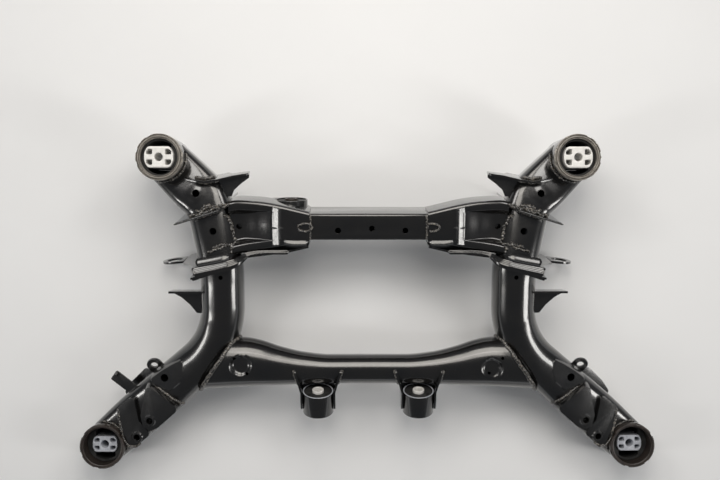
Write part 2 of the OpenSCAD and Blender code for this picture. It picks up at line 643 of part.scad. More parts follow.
// Rear differential mount in the crossmember's rear face, left of the middle
module rear_eye_axis() translate([-rear_eye_x, 0, -rear_eye_drop]) rotate([-90, 0, 0]) children();
rear_eye_end = 44;
module rear_diff_eye() color(paint) box_frame() rear_eye_axis() difference() {
    translate([0, 0, -20]) cylinder(r = rear_eye_r, h = 20 + rear_eye_end);
    translate([0, 0, -21]) cylinder(r = rear_eye_r - 2.7, h = 22 + rear_eye_end);
}
module rear_diff_rubber() color(rubber_black) box_frame() rear_eye_axis() difference() {
    translate([0, 0, -18]) cylinder(r = rear_eye_r - 2.7 - fit, h = 16 + rear_eye_end);
    translate([0, 0, -21]) cylinder(r = 12 + fit, h = 22 + rear_eye_end);
}
module rear_diff_sleeve() color(alloy) box_frame() rear_eye_axis() difference() {
    translate([0, 0, -22]) cylinder(r = 12, h = 24 + rear_eye_end);
    translate([0, 0, -23]) cylinder(r = body_bolt_r, h = 26 + rear_eye_end);
}

// Front arm plates: a raised tongue and a lower tongue, each with a boss hole
tongue_rise = 52;
foot_rise = 42;
cap_base = 15;
module cap(rise, wall) {
    difference() {
        translate([0, 0, cap_base]) linear_extrude(rise - cap_base) children();
        translate([0, 0, cap_base - 1]) linear_extrude(rise - cap_base + 1 - wall)
            offset(delta = -wall) children();
    }
}
tongue_top = [[160, -34], [150, -27], [108, 4], [97, 22], [101, 38], [117, 43], [176, 43]];
tongue_foot = [[160, -43], [144, -36], [102, -2], [93, 20], [99, 40], [117, 44], [176, 44]];
// The tongue's form, grown by a margin: its outer side slants down to the arm
module tongue_form(grow) hull() {
    translate([0, 0, tongue_rise + grow - 1]) linear_extrude(1) offset(delta = grow)
        offset(r = 9, $fn = 32) offset(r = -9) polygon(tongue_top);
    translate([0, 0, cap_base + min(grow, 0)]) linear_extrude(1) offset(delta = grow)
        offset(r = 9, $fn = 32) offset(r = -9) polygon(tongue_foot);
}
module foot_plan() offset(r = 8, $fn = 32) offset(r = -8)
    polygon([[74, -36], [62, -18], [40, 18], [40, 34], [50, 43], [92, 44], [92, 10], [110, -20], [124, -36]]);
tongue_boss = [116, 23];
foot_boss = [67, 31];
module arm_tongue(right) color(paint) on_right(right) difference() {
    arm_frame() difference() {
        union() {
            tongue_form(0);
            translate([tongue_boss.x, tongue_boss.y, tongue_rise - eps]) cylinder(r1 = 12, r2 = 10, h = 3);
        }
        tongue_form(-sheet);
        translate([tongue_boss.x, tongue_boss.y, 0]) cylinder(r = arm_bolt_r, h = 100);
    }
    side_fill(-300, -60);
}
module arm_foot(right) color(paint) on_right(right) difference() {
    arm_frame() difference() {
        union() {
            cap(foot_rise, sheet) foot_plan();
            translate([foot_boss.x, foot_boss.y, foot_rise - eps]) cylinder(r1 = 12, r2 = 10, h = 2.5);
        }
        translate([foot_boss.x, foot_boss.y, 0]) cylinder(r = arm_bolt_r, h = 100);
        tongue_form(fit);
    }
    translate([front_eye.x, front_eye.y, 0]) cylinder(r = collar_r + fit, h = 200);
    side_fill(-300, -60);
}
module arm_tongue_left() arm_tongue(false);
module arm_tongue_right() arm_tongue(true);
module arm_foot_left() arm_foot(false);
module arm_foot_right() arm_foot(true);

// Loop ear and flange plate on the outer side of the front arm
ear_root = tube_w / 2;
module arm_ear(right) color(paint) on_right(right) difference() {
    arm_frame() translate([179, -ear_root - 13, 6]) rotate([-28, 0, 14]) linear_extrude(5) difference() {
        union() {
            circle(r = 14.5);
            translate([-14.5, 0]) square([29, 46]);
        }
        circle(r = 6.5);
    }
    side_fill(-240, 0);
}
module arm_flange(right) color(paint) on_right(right) difference() {
    arm_frame() translate([0, 0, -12]) linear_extrude(4) offset(r = 6, $fn = 24) offset(r = -6)
        polygon([[78, -20], [84, -52], [110, -58], [150, -60], [160, -46], [160, -20]]);
    side_fill(-280, -60);
}
module arm_ear_left() arm_ear(false);
module arm_ear_right() arm_ear(true);
module arm_flange_left() arm_flange(false);
module arm_flange_right() arm_flange(true);

// Cable tab on the left arm only
module cable_tab() color(paint) on_right(false) difference() {
    arm_frame() translate([118, -30, 16]) rotate([0, 0, -12]) union() {
        linear_extrude(3) offset(r = 3, $fn = 24) translate([-8, -59]) square([16, 56]);
        translate([5, -57, 0]) cylinder(r = 3, h = 12);
    }
    side_fill(-280, -60);
}

// Ring tab outside the arm plate
tab_root = low_line[4];
module ring_tab(right) color(paint) on_right(right) difference() {
    box_frame() translate([tab_root.x, tab_root.y, -72]) rotate([0, 0, -6])
        translate([22, sheet / 2 + fit, 0]) rotate([90, 0, 0]) linear_extrude(4) difference() {
            union() {
                circle(r = 24);
                translate([-24, -24]) square([24, 48]);
            }
            circle(r = 15);
        }
    arm_plate_clear();
}
// Room for the arm plate beside the ring tab
module arm_plate_clear() {
    box_frame() translate([0, 0, -150]) linear_extrude(260) strip(low_line, sheet + 2 * fit);
}
module ring_tab_left() ring_tab(false);
module ring_tab_right() ring_tab(true);

// Triangular bracket on the side member's outer face
module side_bracket(right) color(paint) on_right(right) difference() {
    union() {
        translate([half_waist + 20, 24, 106]) cube([78, 4, 46]);
        translate([0, 0, 130]) linear_extrude(4) polygon([[half_waist + 20, 26], [half_waist + 96, 26],
            [half_waist + 76, 15], [half_waist + 60, 1], [half_waist + 48, -14], [half_waist + 20, -16]]);
    }
    side_fill(-60, 80);
}
module side_bracket_left() side_bracket(false);
module side_bracket_right() side_bracket(true);

side_member_left();
side_member_right();
front_cross_tube();
rear_box();
rear_shell_left();
rear_shell_right();
rear_arm_plate_left();
rear_arm_plate_right();
front_arm_plate_left();
front_arm_plate_right();
lower_sheet_left();
lower_sheet_right();
upper_bracket_left();
upper_bracket_right();
front_eye_left();
front_eye_right();
rear_eye_left();
rear_eye_right();
rear_collar_left();
rear_collar_right();
front_collar_left();
front_collar_right();
rear_rubber_left();
rear_rubber_right();
front_rubber_left();
front_rubber_right();
rear_core_left();
rear_core_right();
front_core_left();
front_core_right();
diff_eye_left();
diff_eye_right();
diff_rubber_left();
diff_rubber_right();
diff_sleeve_left();
diff_sleeve_right();
diff_saddle_left();
diff_saddle_right();
rear_diff_eye();
rear_diff_rubber();
rear_diff_sleeve();
arm_tongue_left();
arm_tongue_right();
arm_foot_left();
arm_foot_right();
arm_ear_left();
arm_ear_right();
arm_flange_left();
arm_flange_right();
cable_tab();
ring_tab_left();
ring_tab_right();
side_bracket_left();
side_bracket_right();
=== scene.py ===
from math import acos, atan2, copysign, cos, hypot, inf, pi, radians, sin, sqrt, tan
import bpy
import bmesh
import numpy as np
from mathutils import Matrix, Vector, noise


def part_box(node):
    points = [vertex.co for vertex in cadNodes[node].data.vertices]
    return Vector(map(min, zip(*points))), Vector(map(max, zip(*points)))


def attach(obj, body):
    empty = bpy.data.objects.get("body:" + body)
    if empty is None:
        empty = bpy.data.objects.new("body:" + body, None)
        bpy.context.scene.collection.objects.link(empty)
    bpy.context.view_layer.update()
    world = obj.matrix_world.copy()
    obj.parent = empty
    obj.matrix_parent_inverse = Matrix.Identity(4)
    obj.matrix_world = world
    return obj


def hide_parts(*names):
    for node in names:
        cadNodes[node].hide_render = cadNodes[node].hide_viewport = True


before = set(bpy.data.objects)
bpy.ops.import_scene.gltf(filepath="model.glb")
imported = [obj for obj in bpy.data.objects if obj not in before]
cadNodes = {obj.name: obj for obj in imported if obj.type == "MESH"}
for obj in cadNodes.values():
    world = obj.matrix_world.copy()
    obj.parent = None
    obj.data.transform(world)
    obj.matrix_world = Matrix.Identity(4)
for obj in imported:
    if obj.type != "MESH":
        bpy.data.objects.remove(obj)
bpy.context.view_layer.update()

scene = bpy.context.scene
scene.view_settings.view_transform = "Standard"
mm = 0.001
sides = {"left": -1, "right": 1}  # the sign of x on each side
upward = (0, 0, 1)
through = 100  # reach of a cutter that goes right through a sheet
creases = {"round": 34, "sheet": 40, "bead": 180}  # edges that turn by more degrees than this stay crisp
print("frame loaded:", len(cadNodes), "nodes")


# small geometry helpers, all in millimetres until a mesh is made

def smoothStep(t):
    t = min(max(t, 0.0), 1.0)
    return t * t * (3 - 2 * t)


def smoothTable(t, table):
    # smooth through every station, no flat spots and no overshoot
    xs = [row[0] for row in table]
    ys = [row[1] for row in table]
    t = min(max(t, xs[0]), xs[-1])
    rises = [(y1 - y0) / (x1 - x0) for x0, x1, y0, y1 in zip(xs, xs[1:], ys, ys[1:])]
    between = [0 if p * q <= 0 else 2 * p * q / (p + q) for p, q in zip(rises, rises[1:])]
    slopes = [rises[0]] + between + [rises[-1]]
    i = min(max(int(np.searchsorted(xs, t)) - 1, 0), len(rises) - 1)
    span = xs[i + 1] - xs[i]
    u = (t - xs[i]) / span
    ease = smoothStep(u)
    return (ys[i] * (1 - ease) + ys[i + 1] * ease
            + span * u * (1 - u) * (slopes[i] * (1 - u) - slopes[i + 1] * u))


def cosSin(degrees):
    return cos(radians(degrees)), sin(radians(degrees))


def straightTable(t, table):
    return float(np.interp(t, [row[0] for row in table], [row[1] for row in table]))


def unitOf(v):
    v = np.array(v, float)
    return v / np.linalg.norm(v)


def runAlong(points):
    # length travelled up to each point
    return np.concatenate([[0], np.cumsum(np.linalg.norm(np.diff(points, axis=0), axis=1))])


def evenSteps(points, step):
    points = np.array(points, float)
    run = runAlong(points)
    stops = np.linspace(0, run[-1], max(int(run[-1] / step), 1) + 1)
    return np.column_stack([np.interp(stops, run, points[:, k]) for k in range(points.shape[1])])


def roundedPath(points, radii, step, arcSteps=25):
    # straight runs and arcs through plan points, in even steps
    dense = [points[0]]
    for before, corner, after, radius in zip(points, points[1:], points[2:], radii):
        u = unitOf(before - corner)
        v = unitOf(after - corner)
        half = acos(np.clip(u @ v, -1, 1)) / 2
        centre = corner + unitOf(u + v) * radius / sin(half)
        first = corner + u * radius / tan(half) - centre
        turn = -1 if u[0] * v[1] - u[1] * v[0] > 0 else 1
        for share in np.linspace(0, 1, arcSteps):
            angle = turn * (pi - 2 * half) * share
            c, s = cos(angle), sin(angle)
            dense.append(centre + np.array([c * first[0] - s * first[1], s * first[0] + c * first[1]]))
    dense.append(points[-1])
    return evenSteps(dense, step)


def roundedOutline(corners, radius, steps=6):
    # a closed outline with each corner rounded
    outline = []
    count = len(corners)
    for i, corner in enumerate(corners):
        q = np.array(corner, float)
        u = unitOf(np.subtract(corners[i - 1], corner))
        v = unitOf(np.subtract(corners[(i + 1) % count], corner))
        half = acos(np.clip(u @ v, -1, 1)) / 2
        first, last = (q + way * radius / tan(half) for way in (u, v))
        centre = q + unitOf(u + v) * radius / sin(half)
        for share in np.linspace(0, 1, steps):
            out = unitOf((first - centre) * (1 - share) + (last - centre) * share)
            outline.append(tuple(centre + out * radius))
    return outline


def squirclePoint(a, b, power, angle):
    c, s = cos(angle), sin(angle)
    return (a * copysign(abs(c) ** (2 / power), c), b * copysign(abs(s) ** (2 / power), s))


def onSide(points, side):
    # points of the right side, mirrored for the left
    return [(sides[side] * p[0], p[1], p[2]) for p in points]


# meshes

def linkPiece(name, mesh):
    piece = bpy.data.objects.new(name, mesh)
    scene.collection.objects.link(piece)
    return piece


def turnOutwards(mesh, join=0):
    # all faces outwards, after joining points closer than join
    shape = bmesh.new()
    shape.from_mesh(mesh)
    if join:
        bmesh.ops.remove_doubles(shape, verts=shape.verts, dist=join * mm)
    bmesh.ops.recalc_face_normals(shape, faces=shape.faces)
    shape.to_mesh(mesh)
    shape.free()


def meshPiece(name, points, faces):
    mesh = bpy.data.meshes.new(name)
    mesh.from_pydata([Vector(p) * mm for p in points], [], faces)
    mesh.validate()
    turnOutwards(mesh)
    return linkPiece(name, mesh)


def loftFaces(ringCount, ringSize, base=0, closed=True):
    faces = []
    for i in range(ringCount - 1):
        for j in range(ringSize if closed else ringSize - 1):
            a = base + i * ringSize + j
            b = base + i * ringSize + (j + 1) % ringSize
            faces.append((a, b, b + ringSize, a + ringSize))
    return faces


def solidFaces(ringCount, ringSize):
    # a loft with a cap on each end
    last = (ringCount - 1) * ringSize
    return loftFaces(ringCount, ringSize) + [tuple(range(ringSize)), tuple(range(last, last + ringSize))]


def turnedFaces(steps, count):
    # a loft that goes round and closes on its first ring
    last = (steps - 1) * count
    closing = [(last + j, last + (j + 1) % count, (j + 1) % count, j) for j in range(count)]
    return loftFaces(steps, count) + closing


def skinFaces(ringCount, ringSize, closed=True):
    # outer rings first, inner rings after them: both skins and the rims between them
    total = ringCount * ringSize
    faces = loftFaces(ringCount, ringSize, 0, closed) + loftFaces(ringCount, ringSize, total, closed)
    last = (ringCount - 1) * ringSize
    for j in range(ringSize if closed else ringSize - 1):
        k = (j + 1) % ringSize
        faces.append((k, j, total + j, total + k))
        faces.append((last + j, last + k, total + last + k, total + last + j))
    if not closed:
        for i in range(ringCount - 1):
            for edge in (i * ringSize, i * ringSize + ringSize - 1):
                faces.append((edge, edge + ringSize, total + edge + ringSize, total + edge))
    return faces


def shownMesh(piece):
    # the mesh a piece shows, with its modifiers or its curve worked in
    bpy.context.view_layer.update()
    return bpy.data.meshes.new_from_object(piece.evaluated_get(bpy.context.evaluated_depsgraph_get()))


def cutBy(piece, cutters):
    for cutter in cutters:
        step = piece.modifiers.new("cut", "BOOLEAN")
        step.operation = "DIFFERENCE"
        step.solver = "EXACT"
        step.object = cutter
    baked = shownMesh(piece)
    piece.modifiers.clear()
    piece.data = baked
    for cutter in cutters:
        bpy.data.objects.remove(cutter)


def turnedFrame(axis):
    # an axis and two directions square to it
    axis = Vector(axis).normalized()
    across = axis.orthogonal().normalized()
    return axis, across, axis.cross(across)


def rodCutter(centre, axis, radius, length=through, count=48):
    # a plain round cutter, from centre along axis
    axis, across, up = turnedFrame(axis)
    angles = [2 * pi * k / count for k in range(count)]
    ring = [(across * cos(a) + up * sin(a)) * radius for a in angles]
    points = [Vector(centre) + axis * reach + out for reach in (0, length) for out in ring]
    faces = loftFaces(2, count) + [tuple(range(count))[::-1], tuple(range(count, 2 * count))]
    return meshPiece("cutter", points, faces)


def slabCutter(outline, shift):
    # an outline pushed along a vector
    points = [Vector(p) for p in outline] + [Vector(p) + Vector(shift) for p in outline]
    return meshPiece("cutter", points, solidFaces(2, len(outline)))


def turnedPiece(name, profile, place, axis=upward, steps=128):
    # a closed profile of (radius, height) turned about an axis
    axis, across, up = turnedFrame(axis)
    points = []
    for k in range(steps):
        angle = 2 * pi * k / steps
        out = across * cos(angle) + up * sin(angle)
        points += [Vector(place) + out * r + axis * z for r, z in profile]
    return meshPiece(name, points, turnedFaces(steps, len(profile)))


def tubeProfile(radii, ends, soft, cornerSteps=5):
    # wall of a short tube with rounded rims: outer and inner radius, low and high end
    (outer, inner), (low, high) = radii, ends
    corners = ((outer - soft, high - soft), (inner + soft, high - soft),
               (inner + soft, low + soft), (outer - soft, low + soft))
    profile = []
    for quarter, (r, z) in enumerate(corners):
        for turn in np.linspace(0, 90, cornerSteps):
            angle = radians(90 * quarter + turn)
            profile.append((r + soft * cos(angle), z + soft * sin(angle)))
    return profile


def stampedPiece(name, outlines, low, high, soft, place, edgeSteps=3, join=0.01):
    # flat outlines (outer first, then holes) raised from low to high with rounded edges
    curve = bpy.data.curves.new(name, "CURVE")
    curve.dimensions = "2D"
    curve.fill_mode = "BOTH"
    curve.extrude = ((high - low) / 2 - soft) * mm
    curve.bevel_depth = soft * mm
    curve.bevel_resolution = edgeSteps
    curve.offset = -soft * mm
    for line in outlines:
        spline = curve.splines.new("POLY")
        spline.points.add(len(line) - 1)
        for point, (x, y) in zip(spline.points, line):
            point.co = (x * mm, y * mm, 0, 1)
        spline.use_cyclic_u = True
    sketch = linkPiece(name + "_sketch", curve)
    mesh = shownMesh(sketch)
    bpy.data.objects.remove(sketch)
    mesh.transform(Matrix.Translation((place[0] * mm, place[1] * mm, (low + high) / 2 * mm)))
    mesh.name = name
    turnOutwards(mesh, join)
    return linkPiece(name, mesh)


def finishPiece(piece, slot, material, *replaced, crease="round"):
    piece.data.shade_smooth()
    piece.data.set_sharp_from_angle(angle=radians(creases[crease]))
    piece.data.materials.clear()
    piece.data.materials.append(material)
    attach(piece, "root")
    if replaced:
        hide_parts(*replaced)


# paint, metal and rubber

def nodeMaterial(name):
    material = bpy.data.materials.new(name)
    material.use_nodes = True
    tree = material.node_tree
    tree.nodes.clear()
    output = tree.nodes.new("ShaderNodeOutputMaterial")
    shader = tree.nodes.new("ShaderNodeBsdfPrincipled")
    tree.links.new(shader.outputs["BSDF"], output.inputs["Surface"])
    coords = tree.nodes.new("ShaderNodeTexCoord")
    return material, tree, shader, coords


def addNode(tree, kind, output, values, links):
    # a node with its values set and its links made, as the output that is asked for
    node = tree.nodes.new("ShaderNode" + kind)
    for socket, value in values.items():
        node.inputs[socket].default_value = value
    for socket, source in links.items():
        tree.links.new(source, node.inputs[socket])
    return node.outputs[output]


def noiseField(tree, coords, scale, detail, roughness):
    return addNode(tree, "TexNoise", "Fac", {"Scale": scale, "Detail": detail, "Roughness": roughness},
                   {"Vector": coords.outputs["Object"]})


def rangeValue(tree, source, low, high, fromLow=0.0, fromHigh=1.0):
    ends = {"From Min": fromLow, "From Max": fromHigh, "To Min": low, "To Max": high}
    return addNode(tree, "MapRange", "Result", ends, {"Value": source})


def bumpNormal(tree, source, strength, distance, **before):
    return addNode(tree, "Bump", "Normal", {"Strength": strength, "Distance": distance},
                   {"Height": source, **before})


def rampColour(tree, source, stops):
    ramp = tree.nodes.new("ShaderNodeValToRGB")
    elements = ramp.color_ramp.elements
    for element, (place, colour) in zip(elements, stops):  # a ramp starts with two elements
        element.position = place
        element.color = (*colour, 1)
    tree.links.new(source, ramp.inputs["Fac"])
    return ramp.outputs["Color"]


def setSockets(shader, values):
    for socket, value in values.items():
        shader.inputs[socket].default_value = value


blackDip = {
    "deep": (0.0025, 0.0025, 0.0028), "thin": (0.0065, 0.0058, 0.005), "dust": (0.08, 0.074, 0.066),
    # noise as scale, detail and roughness, with the part of its range that is used
    "cloud": (14, 5, 0.55), "cloudStops": (0.35, 0.72),
    "speck": (950, 2, 0.7), "speckRange": (0.68, 0.76),
    "drift": (22, 3, 0.55), "driftRange": (0.45, 0.75),
    "haze": (38, 6, 0.55), "gloss": (0.16, 0.3),
    # bumps as strength and distance
    "wave": (46, 3, 0.55), "waveBump": (0.12, 0.0012),
    "peel": (420, 2, 0.55), "peelBump": (0.06, 0.0004),
    "sockets": {"Specular IOR Level": 0.6, "Coat Weight": 0.8, "Coat Roughness": 0.09},
}


def blackDipPaint():
    look = blackDip
    material, tree, shader, coords = nodeMaterial("black_dip_paint")
    link = tree.links.new
    field = {kind: noiseField(tree, coords, *look[kind])
             for kind in ("cloud", "speck", "drift", "haze", "wave", "peel")}
    base = rampColour(tree, field["cloud"], zip(look["cloudStops"], (look["deep"], look["thin"])))
    dusty = tree.nodes.new("ShaderNodeMath")
    dusty.operation = "MULTIPLY"
    for k, kind in enumerate(("speck", "drift")):
        link(rangeValue(tree, field[kind], 0, 1, *look[kind + "Range"]), dusty.inputs[k])
    mix = tree.nodes.new("ShaderNodeMix")
    mix.data_type = "RGBA"
    link(dusty.outputs["Value"], mix.inputs["Factor"])
    link(base, mix.inputs["A"])
    mix.inputs["B"].default_value = (*look["dust"], 1)
    link(mix.outputs["Result"], shader.inputs["Base Color"])
    link(rangeValue(tree, field["haze"], *look["gloss"]), shader.inputs["Roughness"])
    soft = bumpNormal(tree, field["wave"], *look["waveBump"])
    link(bumpNormal(tree, field["peel"], *look["peelBump"], Normal=soft), shader.inputs["Normal"])
    setSockets(shader, look["sockets"])
    return material


def mottledFinish(name, look):
    # two colours and the gloss from one noise, a fine grain on top
    material, tree, shader, coords = nodeMaterial(name)
    link = tree.links.new
    mottle = noiseField(tree, coords, *look["mottle"])
    colours = zip(look["stops"], (look["low"], look["high"]))
    link(rampColour(tree, mottle, colours), shader.inputs["Base Color"])
    link(rangeValue(tree, mottle, *look["gloss"]), shader.inputs["Roughness"])
    grain = noiseField(tree, coords, *look["grain"])
    link(bumpNormal(tree, grain, *look["bump"]), shader.inputs["Normal"])
    setSockets(shader, look["sockets"])
    return material


# dark paint on the welds with light tan flecks: the flecks are painted glints, with some bare metal showing
# through
weldSkinAndPaintedGlints = {
    "low": (0.012, 0.011, 0.010), "high": (0.25, 0.222, 0.185), "stops": (0.5, 0.68), "gloss": (0.14, 0.4),
    "mottle": (260, 6, 0.7), "grain": (260, 6, 0.7), "bump": (0.4, 0.0008),
    "sockets": {"Specular IOR Level": 0.7, "Coat Weight": 0.6, "Coat Roughness": 0.12},
}
castFinish = {
    "bright": {"low": (0.62, 0.61, 0.585), "high": (0.78, 0.77, 0.745), "gloss": (0.36, 0.52), "metal": 0.2},
    # a darker, bluish grey copy of the core metal for the front cores: painted shade of their recessed faces;
    # the differential eyes' rims take it too
    "shadedGrey": {"low": (0.36, 0.38, 0.42), "high": (0.52, 0.54, 0.58), "gloss": (0.42, 0.6), "metal": 0.2},
    "collar": {"low": (0.165, 0.15, 0.13), "high": (0.36, 0.335, 0.3), "gloss": (0.26, 0.42), "metal": 0.2},
    "dark": {"low": (0.013, 0.010, 0.009), "high": (0.042, 0.032, 0.026), "gloss": (0.3, 0.48), "metal": 0.0},
}
castSkin = {"stops": (0.3, 0.7), "mottle": (120, 6, 0.65), "grain": (1400, 3, 0.6), "bump": (0.25, 0.0003)}
bushRubber = {
    "low": (0.008, 0.008, 0.008), "high": (0.026, 0.026, 0.025), "stops": (0.4, 0.75), "gloss": (0.55, 0.8),
    "mottle": (90, 5, 0.55), "grain": (700, 3, 0.55), "bump": (0.3, 0.0003), "sockets": {},
}


def castMetal(kind):
    look = castFinish[kind]
    return mottledFinish(kind + "_mount_metal", {**castSkin, **look, "sockets": {"Metallic": look["metal"]}})


dipPaint = blackDipPaint()
# the weld beads' finish, its light flecks painted glints
beadPaintAndGlints = mottledFinish("weld_bead_paint_and_glints", weldSkinAndPaintedGlints)
brightMetal = castMetal("bright")
shadedGreyMetal = castMetal("shadedGrey")
collarMetal = castMetal("collar")
darkCollar = castMetal("dark")
rubber = mottledFinish("mount_rubber", bushRubber)
print("materials made")


def dipPiece(piece, *replaced, crease="round"):
    finishPiece(piece, "black_paint", dipPaint, *replaced, crease=crease)


# side members: one bent tube each, box section at the mounts, round at the waist

def eyeSizes(name):
    # centre, radius and heights of a mount eye
    low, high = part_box(name)
    return np.array((low + high) / 2 / mm), (high.x - low.x) / 2 / mm, (low.z / mm, high.z / mm)


frontEye, eyeRadius, frontEyeHeights = eyeSizes("front_eye_right")
rearEye, _, rearEyeHeights = eyeSizes("rear_eye_right")
sideTube = {
    "width": 82, "wall": 3, "armBend": 150, "waistBend": 260, "neckBend": 80,
    "armCornerY": -68, "waistCornerY": 72, "neckCorner": (21, 193), "inEye": 6, "roundEye": 1.1,
    "armHeight": (45, 95), "bendHeight": 114, "waistHeight": 128, "rearHeight": 118,
    "step": 4.0, "ringPoints": 96, "clearance": 0.25, "near": 0.004, "halvings": 24,
}
eyeCut = {"from": -50, "length": 300, "count": 128}
halfTube = sideTube["width"] / 2
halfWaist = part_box("side_member_right")[0].x / mm + halfTube


def sidePlan():
    tube = sideTube
    corners = [frontEye[:2].copy(), np.array([halfWaist, tube["armCornerY"]]),
               np.array([halfWaist, tube["waistCornerY"]]),
               np.array([halfWaist + tube["neckCorner"][0], tube["neckCorner"][1]]), rearEye[:2].copy()]
    corners[0] += tube["inEye"] * unitOf(corners[1] - corners[0])
    corners[4] += tube["inEye"] * unitOf(corners[3] - corners[4])
    bends = (tube["armBend"], tube["waistBend"], tube["neckBend"])
    return corners, roundedPath(corners, bends, tube["step"])


sideCorners, sidePath = sidePlan()
sideRun = runAlong(sidePath)
sideShare = sideRun / sideRun[-1]
armAhead = unitOf(sideCorners[1] - sideCorners[0])
neckAhead = unitOf(sideCorners[3] - sideCorners[4])


def straightArm():
    # length of the front arm up to its bend
    p, q, s = sideCorners[:3]
    tangent = sideTube["armBend"] / tan(acos(unitOf(p - q) @ unitOf(s - q)) / 2)
    return np.linalg.norm(p - q) - tangent


armLength = straightArm()
armEnd = armLength / sideRun[-1]
eyeHalf = eyeRadius + sideTube["roundEye"]
sideSection = {
    # stations as shares of the tube's length
    "halfWidth": [(0, eyeHalf), (0.12, halfTube + 5), (armEnd, halfTube + 1), (0.5, halfTube),
                  (0.7, halfTube), (0.8, halfTube + 2), (0.88, halfTube + 5), (1, eyeHalf)],
    "halfHeight": [(0, 31), (0.2, 36), (0.46, halfTube), (0.7, halfTube), (0.86, 38), (1, 30)],
    "power": [(0, 4.6), (0.2, 3.6), (0.44, 2.3), (0.6, 2.3), (0.7, 3), (0.84, 3.6), (0.92, 5), (1, 5.4)],
    "height": [(0, sideTube["armHeight"][0]), (armEnd, sideTube["armHeight"][1]),
               (0.5, sideTube["bendHeight"]), (0.66, sideTube["waistHeight"]),
               (0.84, sideTube["waistHeight"]), (1, sideTube["rearHeight"])],
}


def sideStation(share):
    # centre, across direction, section and height of the right tube at a share of its length
    near = sideTube["near"]
    centre, ahead, behind = (np.array([np.interp(s, sideShare, sidePath[:, k]) for k in range(2)])
                             for s in (share, min(share + near, 1), max(share - near, 0)))
    along = unitOf(ahead - behind)
    section = [smoothTable(share, sideSection[kind]) for kind in ("halfWidth", "halfHeight", "power")]
    return centre, np.array([along[1], -along[0]]), *section, straightTable(share, sideSection["height"])


def sideRings(grow, shares):
    rings = []
    count = sideTube["ringPoints"]
    for share in shares:
        centre, across, a, b, power, z = sideStation(share)
        for j in range(count):
            x, y = squirclePoint(a + grow, b + grow, power, 2 * pi * (j + 0.5) / count)
            rings.append((centre[0] + across[0] * x, centre[1] + across[1] * x, z + y))
    return rings


def tubeMeasure(point):
    # below 1 inside the right side tube, 1 on its skin
    i = int(np.argmin(np.hypot(sidePath[:, 0] - point[0], sidePath[:, 1] - point[1])))
    centre, across, a, b, power, z = sideStation(sideShare[i])
    u = abs((np.array(point[:2]) - centre) @ across) / a
    return (u ** power + (abs(point[2] - z) / b) ** power) ** (1 / power)


def nearSkin(outside, inside, pointAt, halvings):
    # the last station off the right tube between one off it and one in it
    for _ in range(halvings):
        middle = (outside + inside) / 2
        if tubeMeasure(pointAt(middle)) > 1:
            outside = middle
        else:
            inside = middle
    return outside


armSlope = atan2(sideTube["armHeight"][1] - sideTube["armHeight"][0], armLength)


def armPoint(x, y, z):
    # front arm's frame: x up the arm, y to the inner side, z off its top
    c, s = cos(armSlope), sin(armSlope)
    flat = sideCorners[0] + armAhead * (x * c - z * s) + np.array([-armAhead[1], armAhead[0]]) * y
    return np.array([flat[0], flat[1], sideTube["armHeight"][0] + x * s + z * c])


neckHole = (halfWaist + 43.5, 211.4)
neckBoss = {"at": neckHole, "base": 21, "top": 8, "height": 2.1, "cone": 0.75, "above": 140}
sideHoles = [(*neckHole, 7), (halfWaist + 11.4, 140.9, 6.5), (halfWaist - 2, 54.5, 4)]  # x, y, radius
armHole = {"x": 191, "y": -20, "radius": 7.5}


def raiseBoss(points, boss):
    # a round pressed boss on an upper face
    shaped = []
    for x, y, z in points:
        away = hypot(x - boss["at"][0], y - boss["at"][1])
        if away < boss["base"] and z > boss["above"]:
            share = min(1, (boss["base"] - away) / (boss["base"] - boss["top"]))
            z += boss["height"] * (boss["cone"] * share + (1 - boss["cone"]) * smoothStep(share))
        shaped.append((x, y, z))
    return shaped


def armHoleCutter(sign):
    foot, top = (armPoint(armHole["x"], armHole["y"], z) * (sign, 1, 1) for z in (0, through))
    return rodCutter(foot, top - foot, armHole["radius"])


def buildSideTube(side, sign):
    outer = raiseBoss(sideRings(0, sideShare), neckBoss)
    points = outer + sideRings(-sideTube["wall"], sideShare)
    tube = meshPiece("side_tube_" + side, onSide(points, side),
                     skinFaces(len(sideShare), sideTube["ringPoints"]))
    cutters = [rodCutter((sign * eye[0], eye[1], eyeCut["from"]), upward,
                         eyeRadius + sideTube["clearance"], eyeCut["length"], eyeCut["count"])
               for eye in (frontEye, rearEye)]
    cutters += [rodCutter((sign * x, y, sideTube["waistHeight"]), upward, r) for x, y, r in sideHoles]
    cutBy(tube, cutters + [armHoleCutter(sign)])
    dipPiece(tube, "side_member_" + side)


def sideFill(side, first, last):
    # the side tube's outer form between two Y stations, filled, for fitting other pieces to it
    shares = [s for s, (x, y) in zip(sideShare, sidePath) if first <= y <= last]
    points = sideRings(sideTube["clearance"], shares)
    return meshPiece("fill", onSide(points, side), solidFaces(len(shares), sideTube["ringPoints"]))


for side, sign in sides.items():
    buildSideTube(side, sign)
print("side members made")


# front cross tube: flared ends cut to the side tubes

